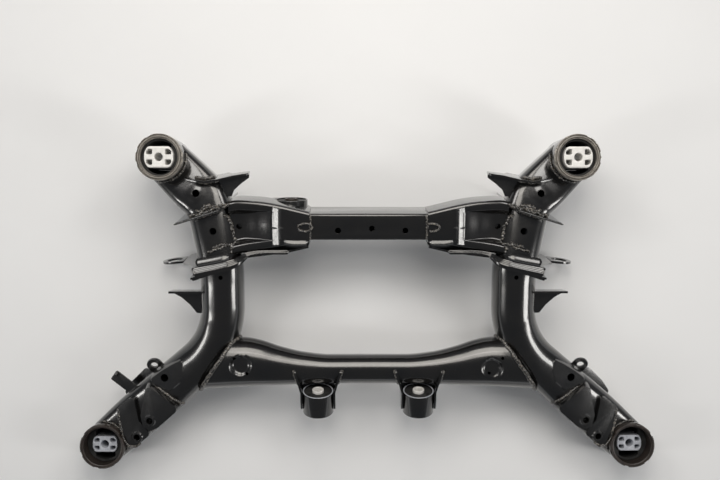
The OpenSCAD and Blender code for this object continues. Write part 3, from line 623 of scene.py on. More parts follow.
crossTube = {
    "y": -125, "z": 104, "rise": 8, "past": 9, "power": 2.2, "inset": 9, "rings": 221, "ringPoints": 112,
    "fitRange": (-215, 30),
}
crossStations = {
    # stations as shares of half its length
    "shift": [(0, 0), (0.25, 0), (0.43, 2), (0.6, 6.5), (0.76, 12), (0.88, 13.5), (1, 13)],
    "halfWidth": [(0, 28), (0.25, 28), (0.43, 31), (0.6, 37.5), (0.76, 46), (0.88, 53), (1, 60)],
    "halfHeight": [(0, 29), (0.25, 29), (0.43, 29.5), (0.6, 32), (0.76, 35), (0.88, 38), (1, 40)],
    "turn": [(0, 0), (0.25, 0), (0.43, 3), (0.6, 8), (0.76, 16), (0.88, 25), (1, 34)],
}
crossReach = halfWaist + crossTube["past"]
dimples = {"rim": 21, "flat": 14, "level": 141, "spots": [(-241, -113), (234, -119)],
           "holes": [(-253, -99), (-229, -128), (229, -128), (253, -99)], "holeRadius": 3, "holeSides": 32}


def crossSizes(share):
    return [smoothTable(share, crossStations[kind]) for kind in ("shift", "halfWidth", "halfHeight", "turn")]


def crossPoint(t, angle, grow=0.0):
    share = abs(t)
    shift, halfWidth, halfHeight, degrees = crossSizes(share)
    turn = radians(degrees) * (-1 if t < 0 else 1)
    x, y = squirclePoint(halfWidth + grow, halfHeight + grow, crossTube["power"], angle)
    return np.array([t * crossReach + sin(turn) * x, crossTube["y"] + shift - cos(turn) * x,
                     crossTube["z"] + crossTube["rise"] * smoothStep(share) + y])


def crossTop(x, y):
    # height of the cross tube's crown near its middle
    share = abs(x) / crossReach
    shift, halfWidth, halfHeight, degrees = crossSizes(share)
    u = min(abs(y - crossTube["y"] - shift) / halfWidth, 1)
    power = crossTube["power"]
    return (crossTube["z"] + crossTube["rise"] * smoothStep(share)
            + halfHeight * (1 - u ** power) ** (1 / power))


def pressDimples(points):
    # flat pads let into the crown
    shaped = []
    for x, y, z in points:
        for spot in dimples["spots"]:
            away = hypot(x - spot[0], y - spot[1])
            if away < dimples["rim"] and z > dimples["level"]:
                share = smoothStep((dimples["rim"] - away) / (dimples["rim"] - dimples["flat"]))
                z += (dimples["level"] - z) * share
        shaped.append((x, y, z))
    return shaped


def buildCrossTube():
    count = crossTube["ringPoints"]
    spots = np.linspace(-1, 1, crossTube["rings"])
    angles = [2 * pi * (j + 0.5) / count for j in range(count)]
    outer, inner = ([tuple(crossPoint(t, angle, grow)) for t in spots for angle in angles]
                    for grow in (0, -crossTube["inset"]))
    tube = meshPiece("cross_tube", pressDimples(outer) + inner, skinFaces(len(spots), count))
    cutters = [sideFill(side, *crossTube["fitRange"]) for side in sides]
    cutters += [rodCutter((x, y, crossTube["z"]), upward, dimples["holeRadius"], count=dimples["holeSides"])
                for x, y in dimples["holes"]]
    cutBy(tube, cutters)
    dipPiece(tube, "front_cross_tube")


buildCrossTube()
print("front cross tube made")


# rear crossmember: folded end shells with a sunk web between raised rims

boxPlace = {"y": 156, "z": 120.6, "lean": 9}


def boxPoint(x, v, w):
    # crossmember frame: v across its face to the rear, w off its face
    c, s = cosSin(boxPlace["lean"])
    return np.array([x, boxPlace["y"] + v * c - w * s, boxPlace["z"] + v * s + w * c])


boxBack = boxPoint(0, 1, 0) - boxPoint(0, 0, 0)
boxUp = boxPoint(0, 0, 1) - boxPoint(0, 0, 0)
shell = {
    "inner": 110, "sheet": 3.5, "top": 51.25, "bend": 7, "bendSteps": 9, "rim": 8, "rimSteps": 8,
    "flange": 70, "lug": 37, "lugSteps": 33, "eyeX": 147, "eyeDrop": 14, "eyeHole": 31.25, "eyeSides": 64,
    "eyeFrom": -22, "slot": (118, 6, 5), "slotSteps": 40, "slotStart": 0.01, "hole": 5.5, "holeSides": 40,
    "holeX": halfWaist - 36, "step": 2.2, "endGap": 0.125, "leastStep": 0.05, "fitRange": (30, 245),
}
shellBead = {"x": halfWaist - 111, "flanks": (3.5, 11), "height": 4.6, "reach": 1.08, "soft": 0.15,
             "step": 0.5}
backing = {"x": (-22, 10), "v": (-16, 16), "w": (22, 24)}  # from the web's hole
seam = halfWaist - 18
seamLow = -53.5
plateRun = 108
topLine = [(shell["inner"], 27), (halfWaist - 88, 44.6), (halfWaist - 66, 47), (halfWaist - 34, 48.5),
           (seam, 45.4), (halfWaist - 2, 33.3), (halfWaist + 80, 7.7)]
seamTop = topLine[4][1]
armRun = unitOf(np.subtract(topLine[6], topLine[5]))
lowLine = [(shell["inner"], -27), (shell["eyeX"], -33.5), (halfWaist - 45, -47), (seam, seamLow),
           (seam + armRun[0] * plateRun, seamLow + armRun[1] * plateRun)]
sinkTable = [(shell["inner"], 0), (halfWaist - 104, 0), (halfWaist - 70, 7), (halfWaist - 40, 12),
             (halfWaist, 12)]


def shellHalf(v, side, edge, sink, thick):
    # flange, bend, rim and the step down to the web
    r = shell["bend"] - thick
    line = [(v - side * thick, edge)]
    for angle in np.linspace(0, pi / 2, shell["bendSteps"]):
        line.append((v - side * (shell["bend"] - r * cos(angle)),
                     shell["top"] - shell["bend"] + r * sin(angle)))
    for share in np.linspace(0, 1, shell["rimSteps"]):
        line.append((v - side * (shell["bend"] + shell["rim"] + (sink + 1) * share),
                     shell["top"] - thick - sink * smoothStep(share)))
    return line


def beadLift(x):
    # height of the bead across the web
    away = x - shellBead["x"]
    flank = shellBead["flanks"][0 if away < 0 else 1]
    rise = min(max(shellBead["reach"] - abs(away) / flank, 0), 1)
    return shellBead["height"] * (shellBead["soft"] * smoothStep(rise) + (1 - shellBead["soft"]) * rise)


def shellSection(x, lug, thick):
    high = smoothTable(x, topLine) + shell["sheet"] / 2
    low = smoothTable(x, lowLine) - shell["sheet"] / 2
    sink = smoothTable(x, sinkTable)
    edge = shell["top"] - shell["flange"]
    away = abs(x - shell["eyeX"])
    lugEdge = edge
    if lug and away < shell["lug"]:
        lugEdge = min(edge, -shell["eyeDrop"] - sqrt(shell["lug"] ** 2 - away ** 2))
    line = shellHalf(low, -1, edge, sink, thick) + shellHalf(high, 1, lugEdge, sink, thick)[::-1]
    lift = beadLift(x)
    web = shell["top"] - thick - sink - 0.01  # the bead rises from here up
    return [boxPoint(x, v, w + lift if w > web else w) for v, w in line]


def shellStations(lug):
    # closer together across the bead and round the lug
    first, last = shellBead["flanks"]
    xs = set(np.arange(shell["inner"], seam, shell["step"])) | {seam - shell["endGap"]}
    xs |= set(np.arange(shellBead["x"] - first, shellBead["x"] + last, shellBead["step"]))
    if lug:
        angles = np.linspace(0, pi, shell["lugSteps"])
        xs |= {shell["eyeX"] + shell["lug"] * cos(a) for a in angles}
    xs = sorted(xs)
    return [x for x, after in zip(xs, xs[1:] + [inf]) if after - x > shell["leastStep"]]


def buildShell(side, sign):
    lug = side == "left"  # the rear differential's eye is on this side only
    xs = shellStations(lug)
    lines = [shellSection(x, lug, thick) for thick in (0, shell["sheet"]) for x in xs]
    points = [tuple(p) for line in lines for p in line]
    piece = meshPiece("rear_shell_folded_" + side, onSide(points, side),
                      skinFaces(len(xs), len(lines[0]), False))
    x, reach, r = shell["slot"]
    turns = np.linspace(shell["slotStart"], 2 * pi + shell["slotStart"], shell["slotSteps"] + 1)[:-1]
    slot = [boxPoint(sign * (x + copysign(reach, cos(a)) + r * cos(a)), r * sin(a), 0)
            for a in turns]
    hole = boxPoint(sign * shell["holeX"], 0, 0)
    cutters = [sideFill(side, *shell["fitRange"]), slabCutter(slot, boxUp * through),
               rodCutter(hole, boxUp, shell["hole"], count=shell["holeSides"])]
    if lug:
        eye = boxPoint(-shell["eyeX"], shell["eyeFrom"], -shell["eyeDrop"])
        cutters.append(rodCutter(eye, boxBack, shell["eyeHole"], count=shell["eyeSides"]))
    cutBy(piece, cutters)
    dipPiece(piece, "rear_shell_" + side)


def buildBacking(side, sign):
    # the inside of the shell behind the web's hole
    (x0, x1), (v0, v1) = backing["x"], backing["v"]
    corners = [boxPoint(sign * (shell["holeX"] + x), v, w) for w in backing["w"]
               for x, v in ((x0, v0), (x1, v0), (x1, v1), (x0, v1))]
    dipPiece(meshPiece("rear_shell_inside_" + side, corners, solidFaces(2, 4)))


for side, sign in sides.items():
    buildShell(side, sign)
    buildBacking(side, sign)
print("rear shells made")


# rolled lips along the plates

lips = {
    # stations from the waist line and the crossmember's middle: x, y, level, width
    "front": [(-20, -60, 182, 0.8), (-7, -64, 184.5, 1.1), (41, -73, 186, 1.1)],
    "low": [(-129, -53.5, 164.5, 0.5), (-91, -53.5, 164.5, 0.5), (-71, -54.6, 165, 0.55),
            (-51, -58.5, 167, 0.65), (-43, -64, 173, 0.8), (-32, -71.5, 180, 1), (-16, -76.5, 184, 1.1),
            (46, -90.3, 186.5, 1.1)],
    "upper": [(-3, 23, 189.2, 0.7), (80, -3, 189.2, 0.7)],
    "shell": [(-119, -33, 167, 0.9), (-140, -35.4, 167, 1.1), (-164, -35.6, 167.5, 0.9)],
    # sections as (towards the front, up), the upper face leaning to the rear
    "rolled": [(-6.2, -3), (-6.8, -1.8), (-6.2, -1.1), (2.4, 2.1), (4, 2.1), (4.8, 1), (9, -1.5), (9, -4)],
    "ribbed": [(-6, -3), (-6, -1.4), (-4.3, -0.8), (-3.3, -1.4), (-1.7, -0.8), (-0.7, -1.4), (0.9, -0.8),
               (1.9, -1.4), (3.5, -0.8), (4.5, -0.9), (5.2, -1.6), (10, -2.4), (10, -4)],
    "round": [(2.4 * cos(a), 2.4 * sin(a)) for a in np.linspace(0, 2 * pi, 13)[:-1]],
    "sections": {"front": "rolled", "low": "ribbed", "upper": "round", "shell": "rolled"},
    # the short dart across the shell's bead: x from the bead, height off the rim
    "dart": [(-8, -0.4), (0, 2.4), (7, 1.4), (15, -0.8)], "dartV": -1, "dartWidth": 0.8,
    "stations": 60, "step": 2.0, "ends": 4.0, "endShare": 0.3,
}


def sweptPiece(name, line, section):
    # a section carried along a line of places and widths, drawn in at both ends
    line = evenSteps(line, lips["step"])
    run = runAlong(line)
    least = lips["endShare"]
    points = []
    for (x, y, z, width), forward, travelled in zip(line, np.gradient(line[:, :3], axis=0), run):
        front = unitOf(np.cross(forward, upward))
        front = front if front[1] < 0 else -front
        rise = unitOf(np.cross(forward, front))
        rise = rise if rise[2] > 0 else -rise
        inward = min(1, travelled / lips["ends"], (run[-1] - travelled) / lips["ends"])
        share = width * (least + (1 - least) * inward ** 0.5)
        points += [np.array([x, y, z]) + (front * u + rise * h) * share for u, h in section]
    piece = meshPiece(name, points, solidFaces(len(line), len(section)))
    dipPiece(piece, crease="sheet")


def lipLine(stations, sign):
    stations = sorted(stations)
    line = []
    for x in np.linspace(stations[0][0], stations[-1][0], lips["stations"]):
        y, level, width = (smoothTable(x, [(row[0], row[k]) for row in stations]) for k in (1, 2, 3))
        line.append((sign * (halfWaist + x), boxPlace["y"] + y, level, width))
    return line


def buildLips(side, sign):
    for kind, section in lips["sections"].items():
        sweptPiece("plate_lip_%s_%s" % (kind, side), lipLine(lips[kind], sign), lips[section])
    dart = [(*boxPoint(sign * (shellBead["x"] + x), lips["dartV"], shell["top"] + lift), lips["dartWidth"])
            for x, lift in lips["dart"]]
    sweptPiece("rear_shell_dart_" + side, dart, lips["round"])


for side, sign in sides.items():
    buildLips(side, sign)
print("plate lips made")


# body mounts: eyes, collars with steps and notches, cores with pockets

mounts = {
    # rims from the outer edge inwards, as radius and height from the top
    "rear": {
        "eye": rearEye, "heights": rearEyeHeights, "top": 190, "core": (53, 39), "coreHeights": (98, 190),
        "inner": 34.55, "notches": (8, 62, 118, 163, 197, 242, 298, 352), "slits": (38, 318),
        # outer flange, groove, raised ring, step down to the bore
        "rim": [(41.9, -0.9), (41.7, -0.9), (41.3, -1.3), (41.1, -5), (39.6, -5), (39.3, -0.6), (38.8, 0),
                (37.6, 0), (37.2, -0.4), (36.9, -4.5), (35.6, -4.5), (35.2, -1.7), (34.55, -2.1)],
        "collar": collarMetal, "slot": "grey_collar", "metal": brightMetal, "coreSlot": "bright_core",
    },
    "front": {
        "eye": frontEye, "heights": frontEyeHeights, "top": 103, "core": (48, 31), "coreHeights": (0, 80),
        "inner": 36.35, "notches": (30, 75, 150, 200, 255, 310), "slits": (),
        "rim": [(41.5, -0.4), (41, 0), (39.4, 0), (38.8, -0.8), (38.2, -2.2), (37.2, -2.4), (36.35, -3)],
        # the front cores take the darker copy of the core metal: painted shade of their recess
        "collar": darkCollar, "slot": "dark_collar", "metal": shadedGreyMetal, "coreSlot": "dull_core",
    },
}
mountSize = {
    "wall": 3.4, "eyeSoft": 1.2, "sleeve": 38.35, "sleeveWall": 2.6, "collar": 43, "collarSteps": 288,
    "notchDeep": 2.2, "notchWide": 6.5, "notchSoft": 2.5, "notchFrom": 4,
    "slitDeep": 2.4, "slitWide": 3.4, "slitSoft": 1.5, "slitFrom": 3,
    "inEye": 4, "offEye": 0.25, "flange": (3.6, 4.4), "edge": ((0, 2.6), (0.4, 1.6)), "ledge": 2,
    "deepBore": 30,
}
coreSize = {
    "steps": 240, "blend": 4, "barrel": 0.51, "bore": 7.5, "boreSteps": 48, "soft": 1.3,
    # pocket sides as shares of the width and the depth, its cut corner and its rounding
    "pocketX": (0.225, 0.43), "pocketY": (0.12, 0.37), "cutX": 0.09, "cutY": 0.62, "pocketSoft": 1.8,
}


def coreOutlines(width, depth):
    # barrel-sided block, four pockets and the bolt hole
    count, blend, bore = coreSize["steps"], coreSize["blend"], coreSize["bore"]
    angles = np.linspace(0, 2 * pi, count, endpoint=False)
    reach = []
    for a in angles:
        c, s = abs(cos(a)) + 1e-9, abs(sin(a)) + 1e-9
        reach.append(min(width / 2 / c, depth / 2 / s, width * coreSize["barrel"]))
    soft = [sum(reach[(i + k) % count] for k in range(-blend, blend + 1)) / (2 * blend + 1)
            for i in range(count)]
    outlines = [[(r * cos(a), r * sin(a)) for r, a in zip(soft, angles)]]
    left, right = (width * share for share in coreSize["pocketX"])
    low, high = (depth * share for share in coreSize["pocketY"])
    pocket = [(left, low), (right, low), (right, low + (high - low) * coreSize["cutY"]),
              (right - width * coreSize["cutX"], high), (left, high)]
    for sx in (-1, 1):
        for sy in (-1, 1):
            loop = roundedOutline([(sx * x, sy * y) for x, y in pocket], coreSize["pocketSoft"])
            outlines.append(loop[::-1] if sx * sy > 0 else loop)
    outlines.append([(bore * cos(a), -bore * sin(a))
                     for a in np.linspace(0, 2 * pi, coreSize["boreSteps"] + 1)[:-1]])
    return outlines


def collarProfile(mount):
    # sleeve in the eye, flange on it, then the rim
    size = mountSize
    low, high = mount["heights"]
    top, inner, sleeve, outer = mount["top"], mount["inner"], size["sleeve"], size["collar"]
    wall = sleeve - size["sleeveWall"]
    foot, seat = low + size["inEye"], high + size["offEye"]
    profile = [(max(wall, inner), foot), (sleeve, foot), (sleeve, seat), (outer, seat)]
    profile += [(outer, high + rise) for rise in size["flange"]]
    profile += [(outer - inward, top - drop) for inward, drop in size["edge"]]
    profile += [(r, top + rise) for r, rise in mount["rim"]]
    if wall > inner:  # a ledge behind the rim
        return profile + [(inner, high + size["ledge"]), (wall, high + size["ledge"])]
    return profile + [(inner, low + size["deepBore"])]


def nearest(degrees, angles):
    return min((abs((degrees - a + 180) % 360 - 180) for a in angles), default=180)


def buildCollar(name, mount, side, place):
    size = mountSize
    profile = collarProfile(mount)
    steps = size["collarSteps"]
    floor = size["collar"] - size["notchDeep"]
    points = []
    for k in range(steps):
        degrees = 360 * k / steps
        c, s = cosSin(degrees)
        seen = degrees if side == "right" else (180 - degrees) % 360
        notch = smoothStep((size["notchWide"] - nearest(degrees, mount["notches"])) / size["notchSoft"])
        slit = smoothStep((size["slitWide"] - nearest(seen, mount["slits"])) / size["slitSoft"])
        for r, z in profile:
            if z > mount["heights"][1] + size["notchFrom"] and r > floor:
                r -= (r - floor) * notch
            if z > mount["top"] - size["slitFrom"]:
                z -= size["slitDeep"] * slit
            points.append((place[0] + c * r, place[1] + s * r, z))
    piece = meshPiece(name + "_turned", points, turnedFaces(steps, len(profile)))
    finishPiece(piece, mount["slot"], mount["collar"], name)


def buildMount(end, mount, side, sign):
    place = (sign * mount["eye"][0], mount["eye"][1])
    eye, collar, core = ("%s_%s_%s" % (end, part, side) for part in ("eye", "collar", "core"))
    wall = tubeProfile((eyeRadius, eyeRadius - mountSize["wall"]), mount["heights"], mountSize["eyeSoft"])
    dipPiece(turnedPiece(eye + "_turned", wall, (*place, 0)), eye)
    buildCollar(collar, mount, side, place)
    block = stampedPiece(core + "_pressed", coreOutlines(*mount["core"]), *mount["coreHeights"],
                         coreSize["soft"], place)
    finishPiece(block, mount["coreSlot"], mount["metal"], core, crease="sheet")


for end, mount in mounts.items():
    for side, sign in sides.items():
        buildMount(end, mount, side, sign)
print("body mounts made")


# differential eyes and their sleeves

diffMount = {
    "x": 96, "y": -185, "z": 117, "rise": 19,
    # radii, ends along the axis, rounding
    "eye": ((29.5, 26.8), (-22, 22), 1.0), "rim": ((29.2, 27), (21.4, 22.35), 0.4),
    "sleeve": ((11, 6.25), (-25, 25), 0.8),
}
rearDiff = {"eye": ((31, 28.3), (-20, 44), 1.0), "sleeve": ((12, 7.5), (-22, 46), 0.8)}
diffAxis = (0, *cosSin(diffMount["rise"]))
for side, sign in sides.items():
    place = (sign * diffMount["x"], diffMount["y"], diffMount["z"])
    eye, rim, sleeve = (turnedPiece(name + side, tubeProfile(*diffMount[part]), place, diffAxis)
                        for part, name in (("eye", "diff_eye_turned_"), ("rim", "diff_eye_rim_"),
                                           ("sleeve", "diff_sleeve_turned_")))
    dipPiece(eye, "diff_eye_" + side)
    finishPiece(rim, "dull_core", shadedGreyMetal)
    finishPiece(sleeve, "bright_core", brightMetal, "diff_sleeve_" + side)
place = boxPoint(-shell["eyeX"], 0, -shell["eyeDrop"])
dipPiece(turnedPiece("rear_diff_eye_turned", tubeProfile(*rearDiff["eye"]), place, boxBack), "rear_diff_eye")
finishPiece(turnedPiece("rear_diff_sleeve_turned", tubeProfile(*rearDiff["sleeve"]), place, boxBack),
            "bright_core", darkCollar, "rear_diff_sleeve")
print("differential eyes made")


# the other sheets keep their CAD form with softened edges

softEdges = {"sheet": 1.2, "rubber": 0.8, "steps": 3, "sharp": 35, "profile": 0.6, "join": 0.02, "flat": 1.0}


def softenedNode(name, slot, material, width):
    shape = bmesh.new()
    shape.from_mesh(cadNodes[name].data)
    bmesh.ops.remove_doubles(shape, verts=shape.verts, dist=softEdges["join"] * mm)
    bmesh.ops.dissolve_limit(shape, angle_limit=radians(softEdges["flat"]), verts=shape.verts,
                             edges=shape.edges)
    turn = radians(softEdges["sharp"])
    sharp = [e for e in shape.edges if e.is_manifold and e.calc_face_angle(0) > turn]
    bmesh.ops.bevel(shape, geom=sharp, offset=width * mm, segments=softEdges["steps"],
                    profile=softEdges["profile"], affect="EDGES", clamp_overlap=True)
    mesh = bpy.data.meshes.new(name + "_soft")
    shape.to_mesh(mesh)
    shape.free()
    finishPiece(linkPiece(name + "_soft", mesh), slot, material, name, crease="sheet")


rebuilt = ("side_member", "front_cross_tube", "rear_shell", "front_eye", "rear_eye", "front_collar",
           "rear_collar", "front_core", "rear_core", "diff_eye", "diff_sleeve", "rear_diff_eye",
           "rear_diff_sleeve")
for name in sorted(cadNodes):
    if name.startswith(rebuilt):
        continue
    if "rubber" in name:
        softenedNode(name, "rubber", rubber, softEdges["rubber"])
    else:
        softenedNode(name, "black_paint", dipPaint, softEdges["sheet"])
print("sheets and rubbers made")


# pressed flats on the front arms, with a hole through each

armFlat = {
    "top": [(166, -37), (193, -35), (221, -30), (244, -24), (228, -5), (208, 7), (182, 7), (165, -20)],
    "corner": 5, "level": 39, "edge": 1, "drop": 16, "spread": 5, "spreadBelow": -15,
    "middle": (202, -17), "shrink": (0.97, 0.95),
}


def buildArmFlat(side, sign):
    level = armFlat["level"]
    (midX, midY), (shrinkX, shrinkY) = armFlat["middle"], armFlat["shrink"]
    top = roundedOutline(armFlat["top"], armFlat["corner"])
    foot = [(x, y - armFlat["spread"] if y < armFlat["spreadBelow"] else y) for x, y in top]
    crown = [(midX + (x - midX) * shrinkX, midY + (y - midY) * shrinkY) for x, y in top]
    points = [armPoint(x, y, z) for ring, z in ((foot, level - armFlat["drop"]),
                                                (top, level - armFlat["edge"]), (crown, level))
              for x, y in ring]
    piece = meshPiece("arm_flat_" + side, onSide(points, side), solidFaces(3, len(top)))
    cutBy(piece, [armHoleCutter(sign)])
    dipPiece(piece)


for side, sign in sides.items():
    buildArmFlat(side, sign)
print("arm flats made")


# weld beads, painted over, with painted glints in their finish

weldLook = {"step": 0.26, "pitch": 1.05, "low": 0.72, "rough": 0.16, "wander": 0.32, "points": 10}
roughWeld = {"step": 0.26, "pitch": 1.7, "low": 0.5, "rough": 0.5, "wander": 1.3, "points": 12}
weldShape = {"ripple": 0.6, "end": 0.1, "wanderScale": 0.13, "roughScale": 0.45}


def weldBead(name, line, radius, look=weldLook):
    # a rippled bead along a line
    line = evenSteps(line, radius * look["step"])
    run = runAlong(line)
    count = look["points"]
    up = np.array(upward, float)
    points = []
    for place, forward, travelled in zip(line, np.gradient(line, axis=0), run):
        forward = unitOf(forward)
        up = unitOf(up - forward * (up @ forward))
        across = np.cross(forward, up)
        ripple = abs(sin(pi * travelled / (radius * look["pitch"]))) ** weldShape["ripple"]
        ends = min(1, min(travelled, run[-1] - travelled) / radius + weldShape["end"])
        r = radius * ends ** 0.5 * (look["low"] + (1 - look["low"]) * ripple)
        drift = radius * look["wander"] * noise.noise(Vector(place) * weldShape["wanderScale"])
        middle = place + across * drift
        for j in range(count):
            angle = 2 * pi * j / count
            out = (up * cos(angle) + across * sin(angle)) * r
            grain = noise.noise(Vector(middle + out) * weldShape["roughScale"])
            points.append(middle + out * (1 + look["rough"] * grain))
    piece = meshPiece(name, points, solidFaces(len(line), count))
    finishPiece(piece, "black_paint", beadPaintAndGlints, crease="bead")


def weldBoth(name, line, radius, look=weldLook):
    line = [p for p in line if p is not None]
    for side in ("right", "left"):
        weldBead("%s_%s" % (name, side), onSide(line, side), radius, look)


dropSize = {"reach": 150, "step": 2.0}


def dropOnTube(point, down, reach=dropSize["reach"]):
    # the first skin point of the right tube met from a point along a direction
    point, down = np.array(point, float), unitOf(down)
    before = point
    for step in np.arange(0, reach, dropSize["step"]):
        here = point + down * step
        if tubeMeasure(here) < 1:
            return nearSkin(before, here, lambda p: p, sideTube["halvings"]) if step > 0 else None
        before = here
    return None


crossWeld = {"degrees": (-40, 215), "points": 110, "shares": (0.6, 1.0), "halvings": 20, "proud": 0.5}


def crossSeam():
    line = []
    for angle in np.radians(np.linspace(*crossWeld["degrees"], crossWeld["points"])):
        share = nearSkin(*crossWeld["shares"], lambda t: crossPoint(t, angle), crossWeld["halvings"])
        line.append(crossPoint(share, angle, crossWeld["proud"]))
    return line


plateWelds = {
    # line, start and stop from the waist line, offset across the plate, radius, look
    "weld_upper_plate_0": (topLine, -8, 58, 4, 3.4, roughWeld),
    "weld_upper_plate_1": (topLine, 4, 44, 9, 3.4, roughWeld),
    "weld_upper_plate_2": (topLine, 14, 34, 13, 3.4, roughWeld),
    "weld_upper_plate_front": (topLine, -14, 50, -4, 3.0, weldLook),
    "weld_lower_plate_0": (lowLine, -25, 22, 20, 2.8, roughWeld),
    "weld_lower_plate_1": (lowLine, -16, 12, 25, 2.8, roughWeld),
}
plateDrop = {"from": 95, "points": 40}


def plateSeam(line, start, stop, offset):
    # along a plate where it stands on the tube
    return [dropOnTube(boxPoint(x, straightTable(x, line) + offset, plateDrop["from"]), -boxUp)
            for x in np.linspace(halfWaist + start, halfWaist + stop, plateDrop["points"])]


shellPlateWeld = [(-3, -1, 49), (2, -3, 53), (9, -8, 62)]  # from the seam, from its top, off the face
webWeld = {"inset": 4, "points": 50, "fromX": 190, "sink": 12, "rim": 10, "slope": 13}


def webSeam():
    # the shell's end on the tube, over both rims and down in the web
    line = []
    low, high = seamLow + webWeld["inset"], seamTop - webWeld["inset"]
    for v in np.linspace(low, high, webWeld["points"]):
        edge = min(v - low, high - v)
        sunk = webWeld["sink"] * smoothStep((edge - webWeld["rim"]) / webWeld["slope"])
        line.append(dropOnTube(boxPoint(webWeld["fromX"], v, shell["top"] - sunk), (1, 0, 0)))
    return line


neckPlate = {
    "line": [(halfWaist - 55, 251), (halfWaist - 27, 247), (halfWaist + 4, 240), (halfWaist + 26, 236.5),
             (halfWaist + 64, 242)],
    "y": 236, "z": 150, "lean": 10, "weld": (-24, 46), "points": 40, "drop": 45, "off": 4,
}


def neckSeam(way):
    # along the neck's plate, behind it or before it
    plate = neckPlate
    c, s = cosSin(plate["lean"])
    first, last = plate["weld"]
    line = []
    for x in np.linspace(halfWaist + first, halfWaist + last, plate["points"]):
        y = straightTable(x, plate["line"]) + way * plate["off"] - plate["y"]
        start = (x, plate["y"] + y * c - plate["drop"] * s, plate["z"] + y * s + plate["drop"] * c)
        line.append(dropOnTube(start, (0, s, -c)))
    return line


eyeWeld = {"off": 2.2, "from": 210, "points": 60, "rearSpread": 1.0, "frontSpread": 1.1}


def eyeSeam(eye, ahead, spread):
    # where the tube meets the mount eye, seen from above
    middle = atan2(ahead[1], ahead[0])
    r = eyeRadius + eyeWeld["off"]
    return [dropOnTube((eye[0] + r * cos(a), eye[1] + r * sin(a), eyeWeld["from"]), (0, 0, -1),
                       eyeWeld["from"])
            for a in np.linspace(middle - spread, middle + spread, eyeWeld["points"])]


armWeld = {
    # in the arm's frame, as x and y
    "foot": [(77, -35), (62.5, -17), (41.5, 17), (40.5, 33), (50, 43), (64, 45)],
    "tongue": [(165, -22), (169, 2), (178, 42)],
    "footLevel": 41, "footStep": 3.0, "from": 60, "step": 2.0,
}


def footSeam():
    return [armPoint(x, y, armWeld["footLevel"]) for x, y in evenSteps(armWeld["foot"], armWeld["footStep"])]


def tongueSeam():
    # along the upper tongue where it stands on the arm
    down = armPoint(0, 0, 0) - armPoint(0, 0, 1)
    return [dropOnTube(armPoint(x, y, armWeld["from"]), down)
            for x, y in evenSteps(armWeld["tongue"], armWeld["step"])]


saddleWeld = {"edge": [(44.5, -123), (35.5, -153)], "off": 2.5, "proud": 0.5, "step": 1.5}


def saddleSeam(sign, side):
    line = []
    for away, y in evenSteps(saddleWeld["edge"], saddleWeld["step"]):
        x = sign * diffMount["x"] + side * (away + saddleWeld["off"])
        line.append((x, y, crossTop(x, y) + saddleWeld["proud"]))
    return line


slotWeld = {"off": (2, 2.5), "proud": 0.4, "points": 60, "left": (0, 350), "right": (-120, 130)}


def slotLoop(side, sign):
    # weld in the shell's slot
    x, reach, r = shell["slot"]
    wide, high = reach + r + slotWeld["off"][0], r + slotWeld["off"][1]
    return [boxPoint(sign * (x + wide * cos(a)), high * sin(a), shell["top"] + slotWeld["proud"])
            for a in np.radians(np.linspace(*slotWeld[side], slotWeld["points"]))]


boxWeld = {"x": 108.5, "v": (-24, 24), "w": 48.6, "points": 30}


def boxSeam(sign):
    return [boxPoint(sign * boxWeld["x"], v, boxWeld["w"])
            for v in np.linspace(*boxWeld["v"], boxWeld["points"])]


weldRadius = {"cross": 4.2, "shellPlate": 3.4, "web": 3.6, "neckBack": 3.4, "neckFront": 3.0, "eye": 2.6,
              "foot": 3.0, "tongue": 3.4, "saddle": 3.0, "box": 2.6, "slot": 2.4}
shellPlateSeam = [boxPoint(seam + x, seamTop + v, w) for x, v, w in shellPlateWeld]
weldBoth("weld_cross", crossSeam(), weldRadius["cross"])
for name, (line, start, stop, offset, radius, look) in plateWelds.items():
    weldBoth(name, plateSeam(line, start, stop, offset), radius, look)
weldBoth("weld_shell_plate", shellPlateSeam, weldRadius["shellPlate"])
weldBoth("weld_web", webSeam(), weldRadius["web"], roughWeld)
weldBoth("weld_neck_back", neckSeam(1), weldRadius["neckBack"])
weldBoth("weld_neck_front", neckSeam(-1), weldRadius["neckFront"])
weldBoth("weld_rear_eye", eyeSeam(rearEye, neckAhead, eyeWeld["rearSpread"]), weldRadius["eye"])
weldBoth("weld_front_eye", eyeSeam(frontEye, armAhead, eyeWeld["frontSpread"]), weldRadius["eye"])
weldBoth("weld_foot", footSeam(), weldRadius["foot"])
weldBoth("weld_tongue", tongueSeam(), weldRadius["tongue"])
for side, sign in sides.items():
    weldBead("weld_saddle_outer_" + side, saddleSeam(sign, sign), weldRadius["saddle"])
    weldBead("weld_saddle_inner_" + side, saddleSeam(sign, -sign), weldRadius["saddle"])
    weldBead("weld_box_" + side, boxSeam(sign), weldRadius["box"])
for side, sign in sides.items():
    weldBead("weld_slot_" + side, slotLoop(side, sign), weldRadius["slot"])
print("weld beads made")


# floor, light and camera

